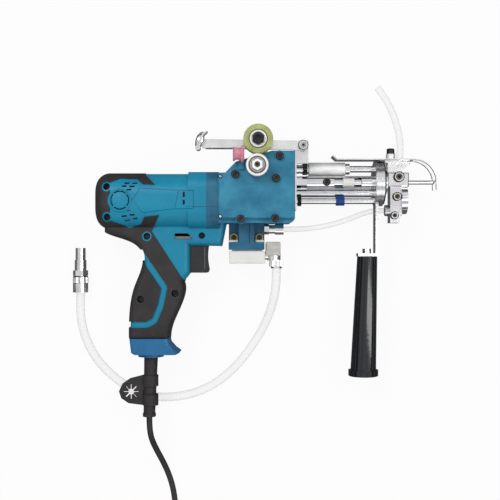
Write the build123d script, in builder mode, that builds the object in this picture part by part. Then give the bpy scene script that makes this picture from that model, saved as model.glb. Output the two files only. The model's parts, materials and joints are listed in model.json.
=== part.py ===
# A handheld tufting machine lying on its side. An electric drill body turns a crank in a painted
# gearbox, the crank pushes a hollow needle in and out, and a pair of rollers feeds the yarn that
# compressed air blows through the needle.
# X runs from the motor to the needle, Y is up in use, Z points away from the table it lies on.
import math
import os

from build123d import *

os.makedirs("parts", exist_ok=True)

# Fits and working values that every piece shares
moving_gap = 0.3
shaft_play = 0.05
seat_gap = 0.1
overrun = 1.0

# The middle plane of the machine, above the table
half_depth = 34.0
near = Plane.XY.offset(half_depth)

# Drill body
collar_front_x = -55.8
barrel_length = 138.7
barrel_rear_x = collar_front_x - barrel_length
barrel_height = 62.0
barrel_half_width = 33.0
barrel_corner = 24.0
barrel_rear_round = 15.0
motor_y = 58.5
barrel_bottom_y = motor_y - barrel_height / 2
collar_length = 13.9
block_length = 34.2
block_rise = 1.8
block_corner = 18.0
housing_wall = 3.0
housing_bore = min(barrel_height / 2, barrel_half_width) - housing_wall
rubber_proud = 0.8
rubber_depth = 1.2
groove_depth = 0.7
groove_width = 0.9

# Grip and trigger web below the barrel
grip_foot_x = -157.5
grip_foot_y = -98.8
grip_reach = 110.0
grip_height = 132.0
grip_half_width = 18.0
grip_round = 7.0
grip_wall = 4.5

# Trigger, reversing lever and lock button
trigger_rear_x = -91.0
trigger_reach = 23.0
trigger_foot_y = -22.9
trigger_height = 31.0
trigger_half_width = 10.0
trigger_travel = 7.0
lever_slot_x = -105.8
lever_slot_y = 15.2
lever_slot_length = 19.8
lever_slot_height = 6.6
slot_shares = [(0.0, 0.0), (1.0, 0.0), (1.0, 0.3), (0.75, 1.0), (0.0, 1.0)]
lever_shares = [(0.0, 0.0), (0.95, 0.0), (0.95, 0.25), (0.85, 0.45), (0.0, 0.45)]
lever_recess = 1.2
lock_x = -75.1
lock_y = 19.3
lock_radius = 3.4
lock_length = 6.0
lock_dome = 0.8
lock_recess = 0.6

# Vents, wells and panel lines of the housing
vent_shares = [
    (0.264, 0.808), (0.327, 0.805), (0.242, 0.752), (0.306, 0.747), (0.281, 0.687), (0.288, 0.305),
    (0.242, 0.215), (0.306, 0.237), (0.264, 0.14), (0.328, 0.171), (0.257, 0.053), (0.321, 0.073),
]
vent_length = 5.6
vent_width = 1.7
vent_lean = 3.0
vent_depth = 9.0
badge_bridge = 1.6
panel_shares = [(0.309, 0.508), (0.371, 0.715), (0.679, 0.673), (0.649, 0.344), (0.389, 0.274)]
block_edge_shares = [(0.679, 0.673), (0.8, 0.673), (0.8, 0.344), (0.649, 0.344)]
screw_well_floor = 9.0
rear_well_floor = 18.0
well_radius = 4.0
case_screw_radius = 3.4
case_screw_head = 3.0
case_screw_shank = 1.6
case_screw_length = 14.0

# Needle line, crank and spindle
needle_y = 80.5
spindle_y = 69.0
crank_x = -28.6
crank_throw = 12.0
conrod_length = 36.0

# Gearbox and its cover
box_y = 33.4
box_length = 85.1
box_height = 79.9
box_depth = 64.0
box_floor = 8.0
box_wall = 3.0
box_corner = 6.0
box_sill = 7.6
cover_depth = 6.0
cover_face = box_depth + cover_depth


def place(x, y, z=half_depth):
    # a plane that looks along the table's normal
    return Plane(origin=(x, y, z))


def facing_x(x, y, z=half_depth):
    # a plane whose normal is +X and whose first axis is +Y
    return Plane(origin=(x, y, z), x_dir=(0, 1, 0), z_dir=(1, 0, 0))


def facing_down(x, y, z=half_depth):
    # a plane whose normal is -Y and whose first axis is +X
    return Plane(origin=(x, y, z), x_dir=(1, 0, 0), z_dir=(0, -1, 0))


def facing_up(x, y, z=half_depth):
    # a plane whose normal is +Y and whose first axis is +X
    return Plane(origin=(x, y, z), x_dir=(1, 0, 0), z_dir=(0, 1, 0))


def stacked(start, *steps, bore=0.0):
    # Round steps, each a radius and a length, one after another along the plane's normal
    reach = 0.0
    with BuildPart() as form:
        for radius, length in steps:
            with BuildSketch(start.offset(reach)):
                Circle(radius)
            extrude(amount=length)
            reach += length
        if bore:
            with BuildSketch(start.offset(-overrun)):
                Circle(bore)
            extrude(amount=reach + 2 * overrun, mode=Mode.SUBTRACT)
    return form.part


def toothed(start, radius, tooth_depth, teeth, width, bore=0.0):
    # A gear blank with shallow tooth gaps, so that its envelope never meets its neighbour's
    with BuildPart() as form:
        with BuildSketch(start):
            Circle(radius)
            with PolarLocations(radius, teeth):
                Rectangle(2 * tooth_depth, math.pi * radius / teeth, mode=Mode.SUBTRACT)
            if bore:
                Circle(bore, mode=Mode.SUBTRACT)
        extrude(amount=width)
    return form.part


def socket_screw(start, head_radius, head_length, shank_radius, shank_length):
    # The plane lies under the head, and its normal points out of the head
    with BuildPart() as form:
        with BuildSketch(start):
            Circle(head_radius)
        extrude(amount=head_length)
        rim = form.edges().filter_by(GeomType.CIRCLE).sort_by(Axis(start.origin, start.z_dir))[-1]
        chamfer(rim, head_length * 0.15)
        with BuildSketch(start.offset(head_length)):
            RegularPolygon(head_radius * 0.55, 6)
        extrude(amount=-head_length * 0.6, mode=Mode.SUBTRACT)
        with BuildSketch(start):
            Circle(shank_radius)
        extrude(amount=-shank_length)
    return form.part


def on_shares(shares, x, y, length, height):
    # Hand-chosen shares of a named length and height, measured from a named corner
    return [(x + along * length, y + up * height) for along, up in shares]


# The drill body. Its outline runs up the rear of the grip, round the heel into the barrel, along
# the nose, down the throat behind the trigger and down the front of the grip.

grip_rear_shares = [(0.0, 0.0), (0.0, 0.158), (0.055, 0.453), (0.136, 0.642), (0.142, 0.718)]
grip_heel_shares = [(0.095, 0.798), (-0.05, 0.866), (-0.25, 0.928)]
nose_shares = [(-0.25, 1.13), (0.99, 1.13), (0.998, 0.998), (0.952, 0.805)]
throat_shares = [(0.623, 0.811), (0.623, 0.574), (0.55, 0.498)]
grip_front_shares = [(0.563, 0.438), (0.538, 0.339), (0.477, 0.218), (0.42, 0.097), (0.407, 0.0)]


def on_grip(shares):
    return on_shares(shares, grip_foot_x, grip_foot_y, grip_reach, grip_height)


def on_barrel(shares):
    return on_shares(shares, barrel_rear_x, barrel_bottom_y, barrel_length, barrel_height)


def grown(points, grow):
    # Moves each corner of a clockwise outline outwards, along the line that halves its angle
    moved = []
    for before, point, after in zip(points[-1:] + points[:-1], points, points[1:] + points[:1]):
        into = (Vector(*point) - Vector(*before)).normalized()
        out = (Vector(*after) - Vector(*point)).normalized()
        halfway = Vector(-into.Y - out.Y, into.X + out.X)
        moved.append(Vector(*point) + halfway * (2 * grow / halfway.length**2))
    return moved


def grip_outline(grow):
    lists = [grip_rear_shares, grip_heel_shares, nose_shares, throat_shares, grip_front_shares]
    points = grown(on_grip(sum(lists, [])), grow)
    heel = len(grip_rear_shares)
    nose = heel + len(grip_heel_shares)
    front = nose + len(nose_shares) + len(throat_shares)
    with BuildSketch(Plane.XY.offset(half_depth - grip_half_width - grow)) as outline:
        with BuildLine():
            Spline(*points[:heel])
            Spline(*points[heel - 1 : nose])
            Polyline(*points[nose - 1 : front])
            Spline(*points[front - 1 :])
            Line(points[-1], points[0])
        make_face()
    return outline.sketch


def grip_form(grow):
    with BuildPart() as form:
        add(grip_outline(grow))
        extrude(amount=2 * (grip_half_width + grow))
        fillet(form.faces().filter_by(Axis.Z).edges(), grip_round + grow)
    return form.part


def barrel_form(grow):
    with BuildPart() as form:
        with BuildSketch(facing_x(barrel_rear_x - grow, motor_y)):
            RectangleRounded(
                barrel_height + 2 * grow, 2 * (barrel_half_width + grow), barrel_corner + grow
            )
        extrude(amount=barrel_length - collar_length + grow)
        fillet(form.faces().sort_by(Axis.X)[0].edges(), barrel_rear_round + grow)
    return form.part


def block_form():
    with BuildPart() as form:
        with BuildSketch(facing_x(collar_front_x - block_length, motor_y + block_rise / 2)):
            RectangleRounded(barrel_height + block_rise, 2 * barrel_half_width, block_corner)
        extrude(amount=block_length - collar_length)
    return form.part


def drill_form(grow):
    with BuildPart() as form:
        add(barrel_form(grow))
        add(grip_form(grow))
    return form.part


def prism(points, bottom, height):
    with BuildPart() as form:
        with BuildSketch(Plane.XY.offset(bottom)):
            with BuildLine():
                Polyline(*points, close=True)
            make_face()
        extrude(amount=height)
    return form.part


# Rubber overmould: it wraps the rear end, runs down the grip and leaves a badge and a stripe bare
rear_rubber_shares = [
    (-0.1, 1.2), (0.397, 1.2), (0.397, 0.992), (0.49, 0.779),
    (0.523, 0.231), (0.452, -0.052), (0.3, -0.5), (-0.1, -0.5),
]
band_shares = [(-0.2, 0.99), (0.19, 0.99), (0.563, 0.511), (0.75, 0.45), (0.75, 0.012), (-0.2, 0.012)]
badge_shares = [
    (0.133, 0.605), (0.119, 0.815), (0.205, 0.902), (0.342, 0.89), (0.393, 0.79), (0.49, 0.779),
    (0.66, 0.766), (0.66, 0.231), (0.523, 0.231), (0.402, 0.197), (0.371, 0.061), (0.27, 0.005),
    (0.21, 0.061), (0.119, 0.137), (0.133, 0.379),
]
stripe_shares = [(0.1, 0.77), (0.365, 0.45), (0.326, 0.295), (0.262, 0.165), (0.18, 0.13), (-0.1, 0.13)]
stripe_width = 7.0
stripe_round = 5.0
boss_radius = 5.6
rear_screw_shares = [(0.099, 0.747), (0.102, 0.2)]
grip_screw_shares = [(0.184, 0.889), (0.473, 0.399), (0.118, 0.35)]
badge_ring_shares = [(0.209, 0.5)]
badge_ring_radius = 13.0
badge_slot_radius = 9.9
badge_slot_width = 1.2

with BuildPart() as rubber_zone:
    with BuildSketch(Plane.XY):
        with BuildLine():
            Polyline(*on_barrel(rear_rubber_shares), close=True)
        make_face()
        with BuildLine():
            Polyline(*on_grip(band_shares), close=True)
        make_face()
        with BuildLine():
            Polyline(*on_barrel(badge_shares), close=True)
        make_face(mode=Mode.SUBTRACT)
        with Locations(*on_barrel(rear_screw_shares), *on_grip(grip_screw_shares)[:1]):
            Circle(boss_radius, mode=Mode.SUBTRACT)
        with Locations(*on_barrel(badge_ring_shares)):
            Circle(badge_ring_radius + groove_width, mode=Mode.SUBTRACT)
        with BuildLine():
            FilletPolyline(*on_grip(stripe_shares), radius=stripe_round)
        trace(line_width=stripe_width, mode=Mode.SUBTRACT)
    extrude(amount=2 * half_depth)

with BuildPart() as rubber_seat:
    add(rubber_zone.part)
    add(drill_form(-rubber_depth), mode=Mode.SUBTRACT)

with BuildPart() as overmould:
    add(drill_form(rubber_proud))
    add(rubber_seat.part, mode=Mode.INTERSECT)

# Housing halves, with the seats of the motor inside
rear_bearing_seat = 10.5
rear_bearing_x = barrel_rear_x + rear_bearing_seat
rear_bearing_length = 6.0
front_bearing_x = -97.0
front_bearing_length = 5.0
motor_bearing_radius = 11.0
rib_margin = 0.6
cavity_shares = [
    (0.25, 1.036), (0.868, 1.036), (0.868, 0.855), (0.586, 0.855), (0.586, 0.612), (0.486, 0.468),
    (0.45, 0.317), (0.359, 0.067), (0.05, 0.067), (0.068, 0.317), (0.195, 0.665), (0.186, 0.771),
]

with BuildPart() as drill_shell:
    add(drill_form(0.0))
    add(block_form())
    add(rubber_zone.part, mode=Mode.SUBTRACT)
    add(drill_form(-rubber_depth))
    add(
        stacked(
            facing_x(barrel_rear_x + 3 * housing_wall, motor_y),
            (housing_bore, barrel_length - collar_length),
        ),
        mode=Mode.SUBTRACT,
    )
    add(
        prism(
            on_grip(cavity_shares),
            half_depth - grip_half_width + grip_wall,
            2 * (grip_half_width - grip_wall),
        ),
        mode=Mode.SUBTRACT,
    )
    for x, length in ((rear_bearing_x, rear_bearing_length), (front_bearing_x, front_bearing_length)):
        add(
            stacked(
                facing_x(x - rib_margin, motor_y),
                (housing_bore + rib_margin, length + 2 * rib_margin),
                bore=motor_bearing_radius + shaft_play,
            )
        )

    # The nose stays below the gear case and the gearbox
    with BuildSketch(Plane.XY.offset(-overrun)):
        with Locations((collar_front_x - collar_length, barrel_bottom_y - seat_gap)):
            Rectangle(collar_length + seat_gap, barrel_height + block_rise + 2 * seat_gap, align=Align.MIN)
        with Locations((collar_front_x, box_y - seat_gap)):
            Rectangle(collar_length, barrel_height, align=Align.MIN)
    extrude(amount=2 * (half_depth + overrun), mode=Mode.SUBTRACT)

    # Trigger pocket, lever slot and lock button hole
    with BuildSketch(Plane.XY.offset(half_depth - trigger_half_width - moving_gap)):
        with Locations((trigger_rear_x - trigger_travel - moving_gap, trigger_foot_y - moving_gap)):
            Rectangle(
                trigger_reach + trigger_travel + 2 * moving_gap,
                trigger_height + 2 * moving_gap,
                align=Align.MIN,
            )
    extrude(amount=2 * (trigger_half_width + moving_gap), mode=Mode.SUBTRACT)
    with BuildSketch(Plane.XY.offset(-overrun)):
        with BuildLine():
            Polyline(
                *on_shares(slot_shares, lever_slot_x, lever_slot_y, lever_slot_length, lever_slot_height),
                close=True,
            )
        make_face()
    extrude(amount=2 * (half_depth + overrun), mode=Mode.SUBTRACT)
    with BuildSketch(near):
        with Locations((lock_x, lock_y)):
            Circle(lock_radius + moving_gap)
    extrude(amount=half_depth, mode=Mode.SUBTRACT)
    # Vents on both sides, and the slots of the round badge
    for bottom in (half_depth + barrel_half_width - vent_depth, half_depth - barrel_half_width - vent_depth):
        with BuildSketch(Plane.XY.offset(bottom)):
            with Locations(*on_barrel(vent_shares)):
                Rectangle(vent_length, vent_width, rotation=vent_lean)
        extrude(amount=2 * vent_depth, mode=Mode.SUBTRACT)
        with BuildSketch(Plane.XY.offset(bottom)):
            with Locations(*on_barrel(badge_ring_shares)):
                Circle(badge_slot_radius + badge_slot_width / 2)
                Circle(badge_slot_radius - badge_slot_width / 2, mode=Mode.SUBTRACT)
                Rectangle(2 * barrel_corner, badge_bridge, rotation=45, mode=Mode.SUBTRACT)
                Rectangle(2 * barrel_corner, badge_bridge, rotation=-45, mode=Mode.SUBTRACT)
        extrude(amount=2 * vent_depth, mode=Mode.SUBTRACT)
    # Screw wells from the near side, each with its screw hole
    for level, places in (
        (screw_well_floor, on_grip(grip_screw_shares)),
        (rear_well_floor, on_barrel(rear_screw_shares)),
    ):
        with BuildSketch(near.offset(level)):
            with Locations(*places):
                Circle(well_radius)
        extrude(amount=half_depth, mode=Mode.SUBTRACT)
        with BuildSketch(near.offset(level)):
            with Locations(*places):
                Circle(case_screw_shank + shaft_play)
        extrude(amount=-case_screw_length - overrun, mode=Mode.SUBTRACT)

# Panel lines, cut to an even depth along the curved side
with BuildPart() as panel_lines:
    with BuildSketch(near):
        with BuildLine():
            Polyline(*on_barrel(panel_shares), close=True)
        trace(line_width=groove_width)
        with BuildLine():
            Polyline(*on_barrel(block_edge_shares))
        trace(line_width=groove_width)
    extrude(amount=half_depth)
    add(barrel_form(-groove_depth), mode=Mode.SUBTRACT)
    add(rubber_zone.part, mode=Mode.SUBTRACT)

# The two halves part along the middle plane
with BuildPart() as near_side:
    with BuildSketch(near):
        with Locations((barrel_rear_x, grip_foot_y)):
            Rectangle(4 * barrel_length, 4 * grip_height)
    extrude(amount=2 * half_depth)

with BuildPart() as housing_near:
    add(drill_shell.part)
    add(panel_lines.part, mode=Mode.SUBTRACT)
    add(near_side.part, mode=Mode.INTERSECT)
housing_near.part.label = "housing_near"
export_step(housing_near.part, "parts/housing_near.step")

with BuildPart() as housing_far:
    add(drill_shell.part)
    add(near_side.part, mode=Mode.SUBTRACT)
housing_far.part.label = "housing_far"
export_step(housing_far.part, "parts/housing_far.step")

with BuildPart() as overmould_bored:
    add(overmould.part)
    with BuildSketch(near.offset(screw_well_floor)):
        with Locations(*on_grip(grip_screw_shares)):
            Circle(well_radius)
    extrude(amount=half_depth, mode=Mode.SUBTRACT)
overmould_bored.part.label = "overmould"
export_step(overmould_bored.part, "parts/overmould.step")

# Housing screws in their wells
with BuildPart() as housing_screws:
    for x, y in on_grip(grip_screw_shares):
        add(
            socket_screw(
                place(x, y, half_depth + screw_well_floor), case_screw_radius, case_screw_head,
                case_screw_shank, case_screw_length,
            )
        )
    for x, y in on_barrel(rear_screw_shares):
        add(
            socket_screw(
                place(x, y, half_depth + rear_well_floor), case_screw_radius, case_screw_head,
                case_screw_shank, case_screw_length,
            )
        )
housing_screws.part.label = "housing_screws"
export_step(housing_screws.part, "parts/housing_screws.step")

# Metal gear case between the housing and the gearbox, with the spindle's bearings
spindle_radius = 5.0
spindle_bearing_radius = 13.0
sleeve_wall = 2.5
sleeve_length = 8.5
with BuildPart() as gear_case:
    with BuildSketch(facing_x(collar_front_x - collar_length, motor_y + block_rise / 2)):
        RectangleRounded(barrel_height + block_rise, 2 * barrel_half_width, block_corner)
    extrude(amount=collar_length)
    add(
        stacked(
            facing_x(collar_front_x - collar_length - sleeve_length, spindle_y),
            (spindle_bearing_radius + sleeve_wall, sleeve_length),
        )
    )
    add(
        stacked(
            facing_x(collar_front_x - collar_length - sleeve_length - overrun, spindle_y),
            (spindle_bearing_radius + shaft_play, collar_length + sleeve_length + 2 * overrun),
        ),
        mode=Mode.SUBTRACT,
    )
gear_case.part.label = "gear_case"
export_step(gear_case.part, "parts/gear_case.step")

# Foot cap at the base of the grip, flared towards the front
cap_shares = [
    (0.0, 1.0), (0.035, 0.12), (0.09, 0.0), (0.93, 0.0),
    (1.0, 0.13), (0.9, 0.35), (0.8, 0.7), (0.78, 1.0),
]
cap_length = 57.0
cap_height = 17.0
cap_half_width = 18.5
cap_round = 4.0
cap_seat = 3.0
cap_collar_radius = 14.7
cap_collar_height = 3.4
relief_x = -134.4
relief_radius = 7.9
with BuildPart() as foot_cap:
    with BuildSketch(Plane.XY.offset(half_depth - cap_half_width)):
        with BuildLine():
            Polyline(
                *on_shares(
                    cap_shares, grip_foot_x, grip_foot_y - cap_height, cap_length, cap_height + rubber_depth
                ),
                close=True,
            )
        make_face()
    extrude(amount=2 * cap_half_width)
    fillet(foot_cap.faces().filter_by(Axis.Z).edges().filter_by(Axis.X, reverse=True), cap_round)
    add(
        stacked(
            facing_down(relief_x, grip_foot_y - cap_height + overrun),
            (cap_collar_radius, cap_collar_height + overrun),
        )
    )
    add(
        stacked(
            facing_down(relief_x, grip_foot_y + rubber_depth + overrun),
            (relief_radius + shaft_play, cap_height + cap_collar_height + rubber_depth + 2 * overrun),
        ),
        mode=Mode.SUBTRACT,
    )
foot_cap.part.label = "foot_cap"
export_step(foot_cap.part, "parts/foot_cap.step")

# Trigger, pushed back along X into the grip
trigger_shares = [(1.0, 1.0), (0.955, 0.75), (0.96, 0.45), (1.03, 0.12)]
trigger_toe_shares = [(0.99, 0.02), (0.93, 0.0), (0.0, 0.0), (0.0, 1.0), (1.0, 1.0)]
stem_radius = 3.0
stem_length = 8.0
with BuildPart() as trigger:
    with BuildSketch(Plane.XY.offset(half_depth - trigger_half_width)):
        with BuildLine():
            Spline(*on_shares(trigger_shares, trigger_rear_x, trigger_foot_y, trigger_reach, trigger_height))
            Polyline(
                *on_shares(
                    trigger_shares[-1:] + trigger_toe_shares,
                    trigger_rear_x, trigger_foot_y, trigger_reach, trigger_height,
                )
            )
        make_face()
    extrude(amount=2 * trigger_half_width)
    add(
        stacked(
            facing_x(trigger_rear_x - stem_length, trigger_foot_y + trigger_height / 2),
            (stem_radius, stem_length + overrun),
        )
    )
trigger.part.label = "trigger"
export_step(trigger.part, "parts/trigger.step")

# Switch behind the trigger, with room for the trigger's stem
switch_length = 22.0
switch_half_width = 11.0
switch_height = 26.0
switch_front_x = trigger_rear_x - trigger_travel - 2 * moving_gap
stem_room = 1.5
with BuildPart() as switch_body:
    with BuildSketch(facing_x(switch_front_x - switch_length, trigger_foot_y + trigger_height / 2)):
        Rectangle(switch_height, 2 * switch_half_width)
    extrude(amount=switch_length)
    chamfer(switch_body.edges().filter_by(Axis.X), overrun)
    add(
        stacked(
            facing_x(switch_front_x - stem_length - stem_room, trigger_foot_y + trigger_height / 2),
            (stem_radius + shaft_play, stem_length + stem_room + overrun),
        ),
        mode=Mode.SUBTRACT,
    )
switch_body.part.label = "switch_body"
export_step(switch_body.part, "parts/switch_body.step")

# Lock button on the near side and the reversing lever that runs through both sides
with BuildPart() as lock_button:
    add(
        stacked(
            place(lock_x, lock_y, half_depth + grip_half_width - lock_recess - lock_length),
            (lock_radius, lock_length - lock_dome),
            (lock_radius * 0.8, lock_dome),
        )
    )
lock_button.part.label = "lock_button"
export_step(lock_button.part, "parts/lock_button.step")

with BuildPart() as direction_lever:
    with BuildSketch(Plane.XY.offset(half_depth - grip_half_width + lever_recess)):
        with BuildLine():
            Polyline(
                *on_shares(
                    lever_shares,
                    lever_slot_x + moving_gap, lever_slot_y + moving_gap,
                    lever_slot_length, lever_slot_height,
                ),
                close=True,
            )
        make_face()
    extrude(amount=2 * (grip_half_width - lever_recess))
direction_lever.part.label = "direction_lever"
export_step(direction_lever.part, "parts/direction_lever.step")

# Motor: field, armature, fan, bearings and brushes
field_radius = housing_bore - moving_gap
field_bore = 20.0
field_x = -153.0
field_length = 44.0
core_radius = 19.2
core_margin = 3.0
motor_shaft_radius = 4.0
pinion_radius = 3.4
pinion_length = 9.0
pinion_x = -90.0
tooth_depth = 0.8
spindle_gear_radius = spindle_y - motor_y - pinion_radius - moving_gap
commutator_seat = 22.5
commutator_x = barrel_rear_x + commutator_seat
commutator_length = 14.0
commutator_radius = 11.0
fan_x = -106.0
fan_length = 7.0
fan_radius = 25.0
fan_hub_radius = 9.0
fan_blades = 12
fan_blade = 1.6
brush_side = 7.0
brush_offset = 6.0
with BuildPart() as stator:
    add(
        stacked(facing_x(field_x, motor_y), (field_radius, field_length), bore=field_bore)
    )
stator.part.label = "stator"
export_step(stator.part, "parts/stator.step")

with BuildPart() as armature:
    add(
        stacked(
            facing_x(rear_bearing_x, motor_y),
            (motor_shaft_radius, commutator_x - rear_bearing_x),
            (commutator_radius, commutator_length),
            (motor_shaft_radius, field_x + core_margin - commutator_x - commutator_length),
            (core_radius, field_length - 2 * core_margin),
            (motor_shaft_radius, pinion_x - field_x - field_length + core_margin),
        )
    )
    add(toothed(facing_x(pinion_x, motor_y), pinion_radius, tooth_depth, 8, pinion_length))
armature.part.label = "armature"
export_step(armature.part, "parts/armature.step")

with BuildPart() as fan:
    with BuildSketch(facing_x(fan_x, motor_y)):
        Circle(fan_radius)
    extrude(amount=fan_blade)
    with BuildSketch(facing_x(fan_x, motor_y)):
        Circle(fan_hub_radius)
        with PolarLocations((fan_radius + fan_hub_radius) / 2 - overrun, fan_blades):
            Rectangle(fan_radius - fan_hub_radius, fan_blade)
    extrude(amount=fan_length)
    with BuildSketch(facing_x(fan_x - overrun, motor_y)):
        Circle(motor_shaft_radius + shaft_play)
    extrude(amount=fan_length + 2 * overrun, mode=Mode.SUBTRACT)
fan.part.label = "fan"
export_step(fan.part, "parts/fan.step")

with BuildPart() as carbon_brushes:
    for side in (-1, 1):
        inner = commutator_radius + moving_gap
        outer = housing_bore - 2 * moving_gap
        with BuildSketch(facing_x(commutator_x + brush_offset, motor_y)):
            with Locations((side * (inner + outer) / 2, 0)):
                Rectangle(outer - inner, brush_side)
        extrude(amount=brush_side)
carbon_brushes.part.label = "carbon_brushes"
export_step(carbon_brushes.part, "parts/carbon_brushes.step")

# Spindle: the gear that the motor turns, the shaft and the bevel pinion
spindle_gear_x = -89.0
spindle_gear_length = 7.5
bevel_x = -42.0
bevel_length = 6.4
bevel_radius = 6.5
with BuildPart() as spindle:
    add(
        stacked(
            facing_x(spindle_gear_x, spindle_y),
            (spindle_radius, bevel_x - spindle_gear_x + overrun),
        )
    )
    add(
        toothed(
            facing_x(spindle_gear_x, spindle_y), spindle_gear_radius, tooth_depth, 18, spindle_gear_length
        )
    )
    add(toothed(facing_x(bevel_x, spindle_y), bevel_radius, tooth_depth, 12, bevel_length))
spindle.part.label = "spindle"
export_step(spindle.part, "parts/spindle.step")

# Gearbox: a painted box, open towards the near side, that a cover closes
box_shares = [(0.0, 0.0), (0.0, 0.696), (0.09, 0.697), (0.226, 0.847), (0.696, 1.0), (1.0, 1.0), (1.0, 0.0)]
cover_foot_share = 0.06
cover_screw_shares = [(0.8, 0.924), (0.22, 0.671), (0.291, 0.053), (0.74, 0.061), (0.753, 0.616)]
cover_boss_radius = 7.0
cover_boss_depth = 8.0
cover_lug_radius = 5.4
cover_round = 1.2
cover_head_radius = 4.4
cover_head_length = 4.0
cover_shank_radius = 2.2
cover_screw_length = 10.0
centre_screw_length = 5.4
flange_screw_shares = [(0.026, 0.641), (0.026, 0.085)]
flange_head_radius = 2.1
flange_head_length = 1.4
flange_shank_radius = 1.1
box_front_x = collar_front_x + box_length
crank_bearing_radius = 11.0
crank_bearing_floor = 2.0
crank_radius = 5.0
crank_gear_radius = 6.0
crank_gear_length = 4.0
crown_radius = bevel_radius + collar_length / 2
crown_length = 5.7
disc_radius = 16.0
disc_floor = 41.5
disc_length = 5.0
pin_radius = 3.0
idler_radius = 13.2
idler_pinion_radius = 5.0
idler_pin_radius = 3.0
idler_pin_length = 10.0
idler_pinion_length = 4.5
gear_floor = box_floor + 0.5
feed_x = -12.8
feed_y = 95.6
feed_gear_radius = 8.0
feed_gear_length = 4.0
feed_shaft_radius = 4.0
feed_bush_radius = 7.0
feed_bush_floor = 60.0
feed_bush_length = 11.0


def on_box(shares):
    return on_shares(shares, collar_front_x, box_y, box_length, box_height)


# The idler sits where both of its meshes keep the running gap
reach_x = feed_x - crank_x
reach_y = feed_y - spindle_y
reach = math.hypot(reach_x, reach_y)
crank_mesh = crank_gear_radius + idler_radius + moving_gap
feed_mesh = idler_pinion_radius + feed_gear_radius + moving_gap
along = (crank_mesh**2 - feed_mesh**2 + reach**2) / (2 * reach)
aside = math.sqrt(crank_mesh**2 - along**2)
idler_x = crank_x + (along * reach_x + aside * reach_y) / reach
idler_y = spindle_y + (along * reach_y - aside * reach_x) / reach

# The crank pin at rest, with the needle drawn back as far as it goes
wrist_drop = needle_y - spindle_y
wrist_reach = conrod_length - crank_throw
wrist_x = crank_x + math.sqrt(wrist_reach**2 - wrist_drop**2)
pin_x = crank_x - crank_throw * (wrist_x - crank_x) / wrist_reach
pin_y = spindle_y - crank_throw * wrist_drop / wrist_reach
rod_radius = 5.0

with BuildPart() as gearbox_body:
    add(prism(on_box(box_shares), 0, box_depth))
    fillet(gearbox_body.edges().filter_by(Axis.Z).group_by(Axis.Y)[0].sort_by(Axis.X)[-1], box_corner)
    cavity_points = [(x, max(y, box_y + box_sill)) for x, y in on_box(box_shares)]
    cavity = [(point.X, point.Y) for point in grown(cavity_points, -box_wall)]
    add(prism(cavity, box_floor, box_depth), mode=Mode.SUBTRACT)
    with BuildSketch(Plane.XY.offset(box_depth - cover_boss_depth)):
        with Locations(*on_box(cover_screw_shares)[:2]):
            Circle(cover_boss_radius)
    extrude(amount=cover_boss_depth)
    with BuildSketch(Plane.XY.offset(box_floor)):
        with Locations((idler_x, idler_y)):
            Circle(idler_pin_radius)
    extrude(amount=idler_pin_length)
    # Holes of the screws, the crank's bearing, the spindle and the needle bar
    with BuildSketch(Plane.XY.offset(cover_face - cover_screw_length - overrun)):
        with Locations(*on_box(cover_screw_shares)[:4]):
            Circle(cover_shank_radius + shaft_play)
    extrude(amount=cover_screw_length, mode=Mode.SUBTRACT)
    with BuildSketch(Plane.XY.offset(crank_bearing_floor)):
        with Locations((crank_x, spindle_y)):
            Circle(crank_bearing_radius + shaft_play)
    extrude(amount=box_floor, mode=Mode.SUBTRACT)
    with BuildSketch(facing_x(collar_front_x - overrun, spindle_y)):
        Circle(spindle_radius + box_wall)
    extrude(amount=box_wall + 2 * overrun, mode=Mode.SUBTRACT)
    with BuildSketch(facing_x(box_front_x - box_wall - overrun, needle_y)):
        Circle(rod_radius + moving_gap)
    extrude(amount=box_wall + 2 * overrun, mode=Mode.SUBTRACT)
gearbox_body.part.label = "gearbox_body"
export_step(gearbox_body.part, "parts/gearbox_body.step")

with BuildPart() as gearbox_cover:
    lifted = [(x_share, max(y_share, cover_foot_share)) for x_share, y_share in box_shares]
    with BuildSketch(Plane.XY.offset(box_depth)):
        with BuildLine():
            Polyline(*on_box(lifted), close=True)
        make_face()
        with Locations(*on_box(cover_screw_shares)[2:4]):
            Circle(cover_lug_radius)
    extrude(amount=cover_depth)
    chamfer(gearbox_cover.faces().sort_by(Axis.Z)[-1].outer_wire().edges(), cover_round)
    with BuildSketch(Plane.XY.offset(box_depth - overrun)):
        with Locations(*on_box(cover_screw_shares)):
            Circle(cover_shank_radius + shaft_play)
        with Locations(*on_box(flange_screw_shares)):
            Circle(flange_shank_radius + shaft_play)
        with Locations((feed_x, feed_y)):
            Circle(feed_bush_radius + shaft_play)
    extrude(amount=cover_depth + 2 * overrun, mode=Mode.SUBTRACT)
gearbox_cover.part.label = "gearbox_cover"
export_step(gearbox_cover.part, "parts/gearbox_cover.step")

with BuildPart() as flange_screws:
    for x, y in on_box(flange_screw_shares):
        add(
            socket_screw(
                place(x, y, cover_face), flange_head_radius, flange_head_length, flange_shank_radius,
                cover_depth - overrun,
            )
        )
flange_screws.part.label = "flange_screws"
export_step(flange_screws.part, "parts/flange_screws.step")

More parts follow.
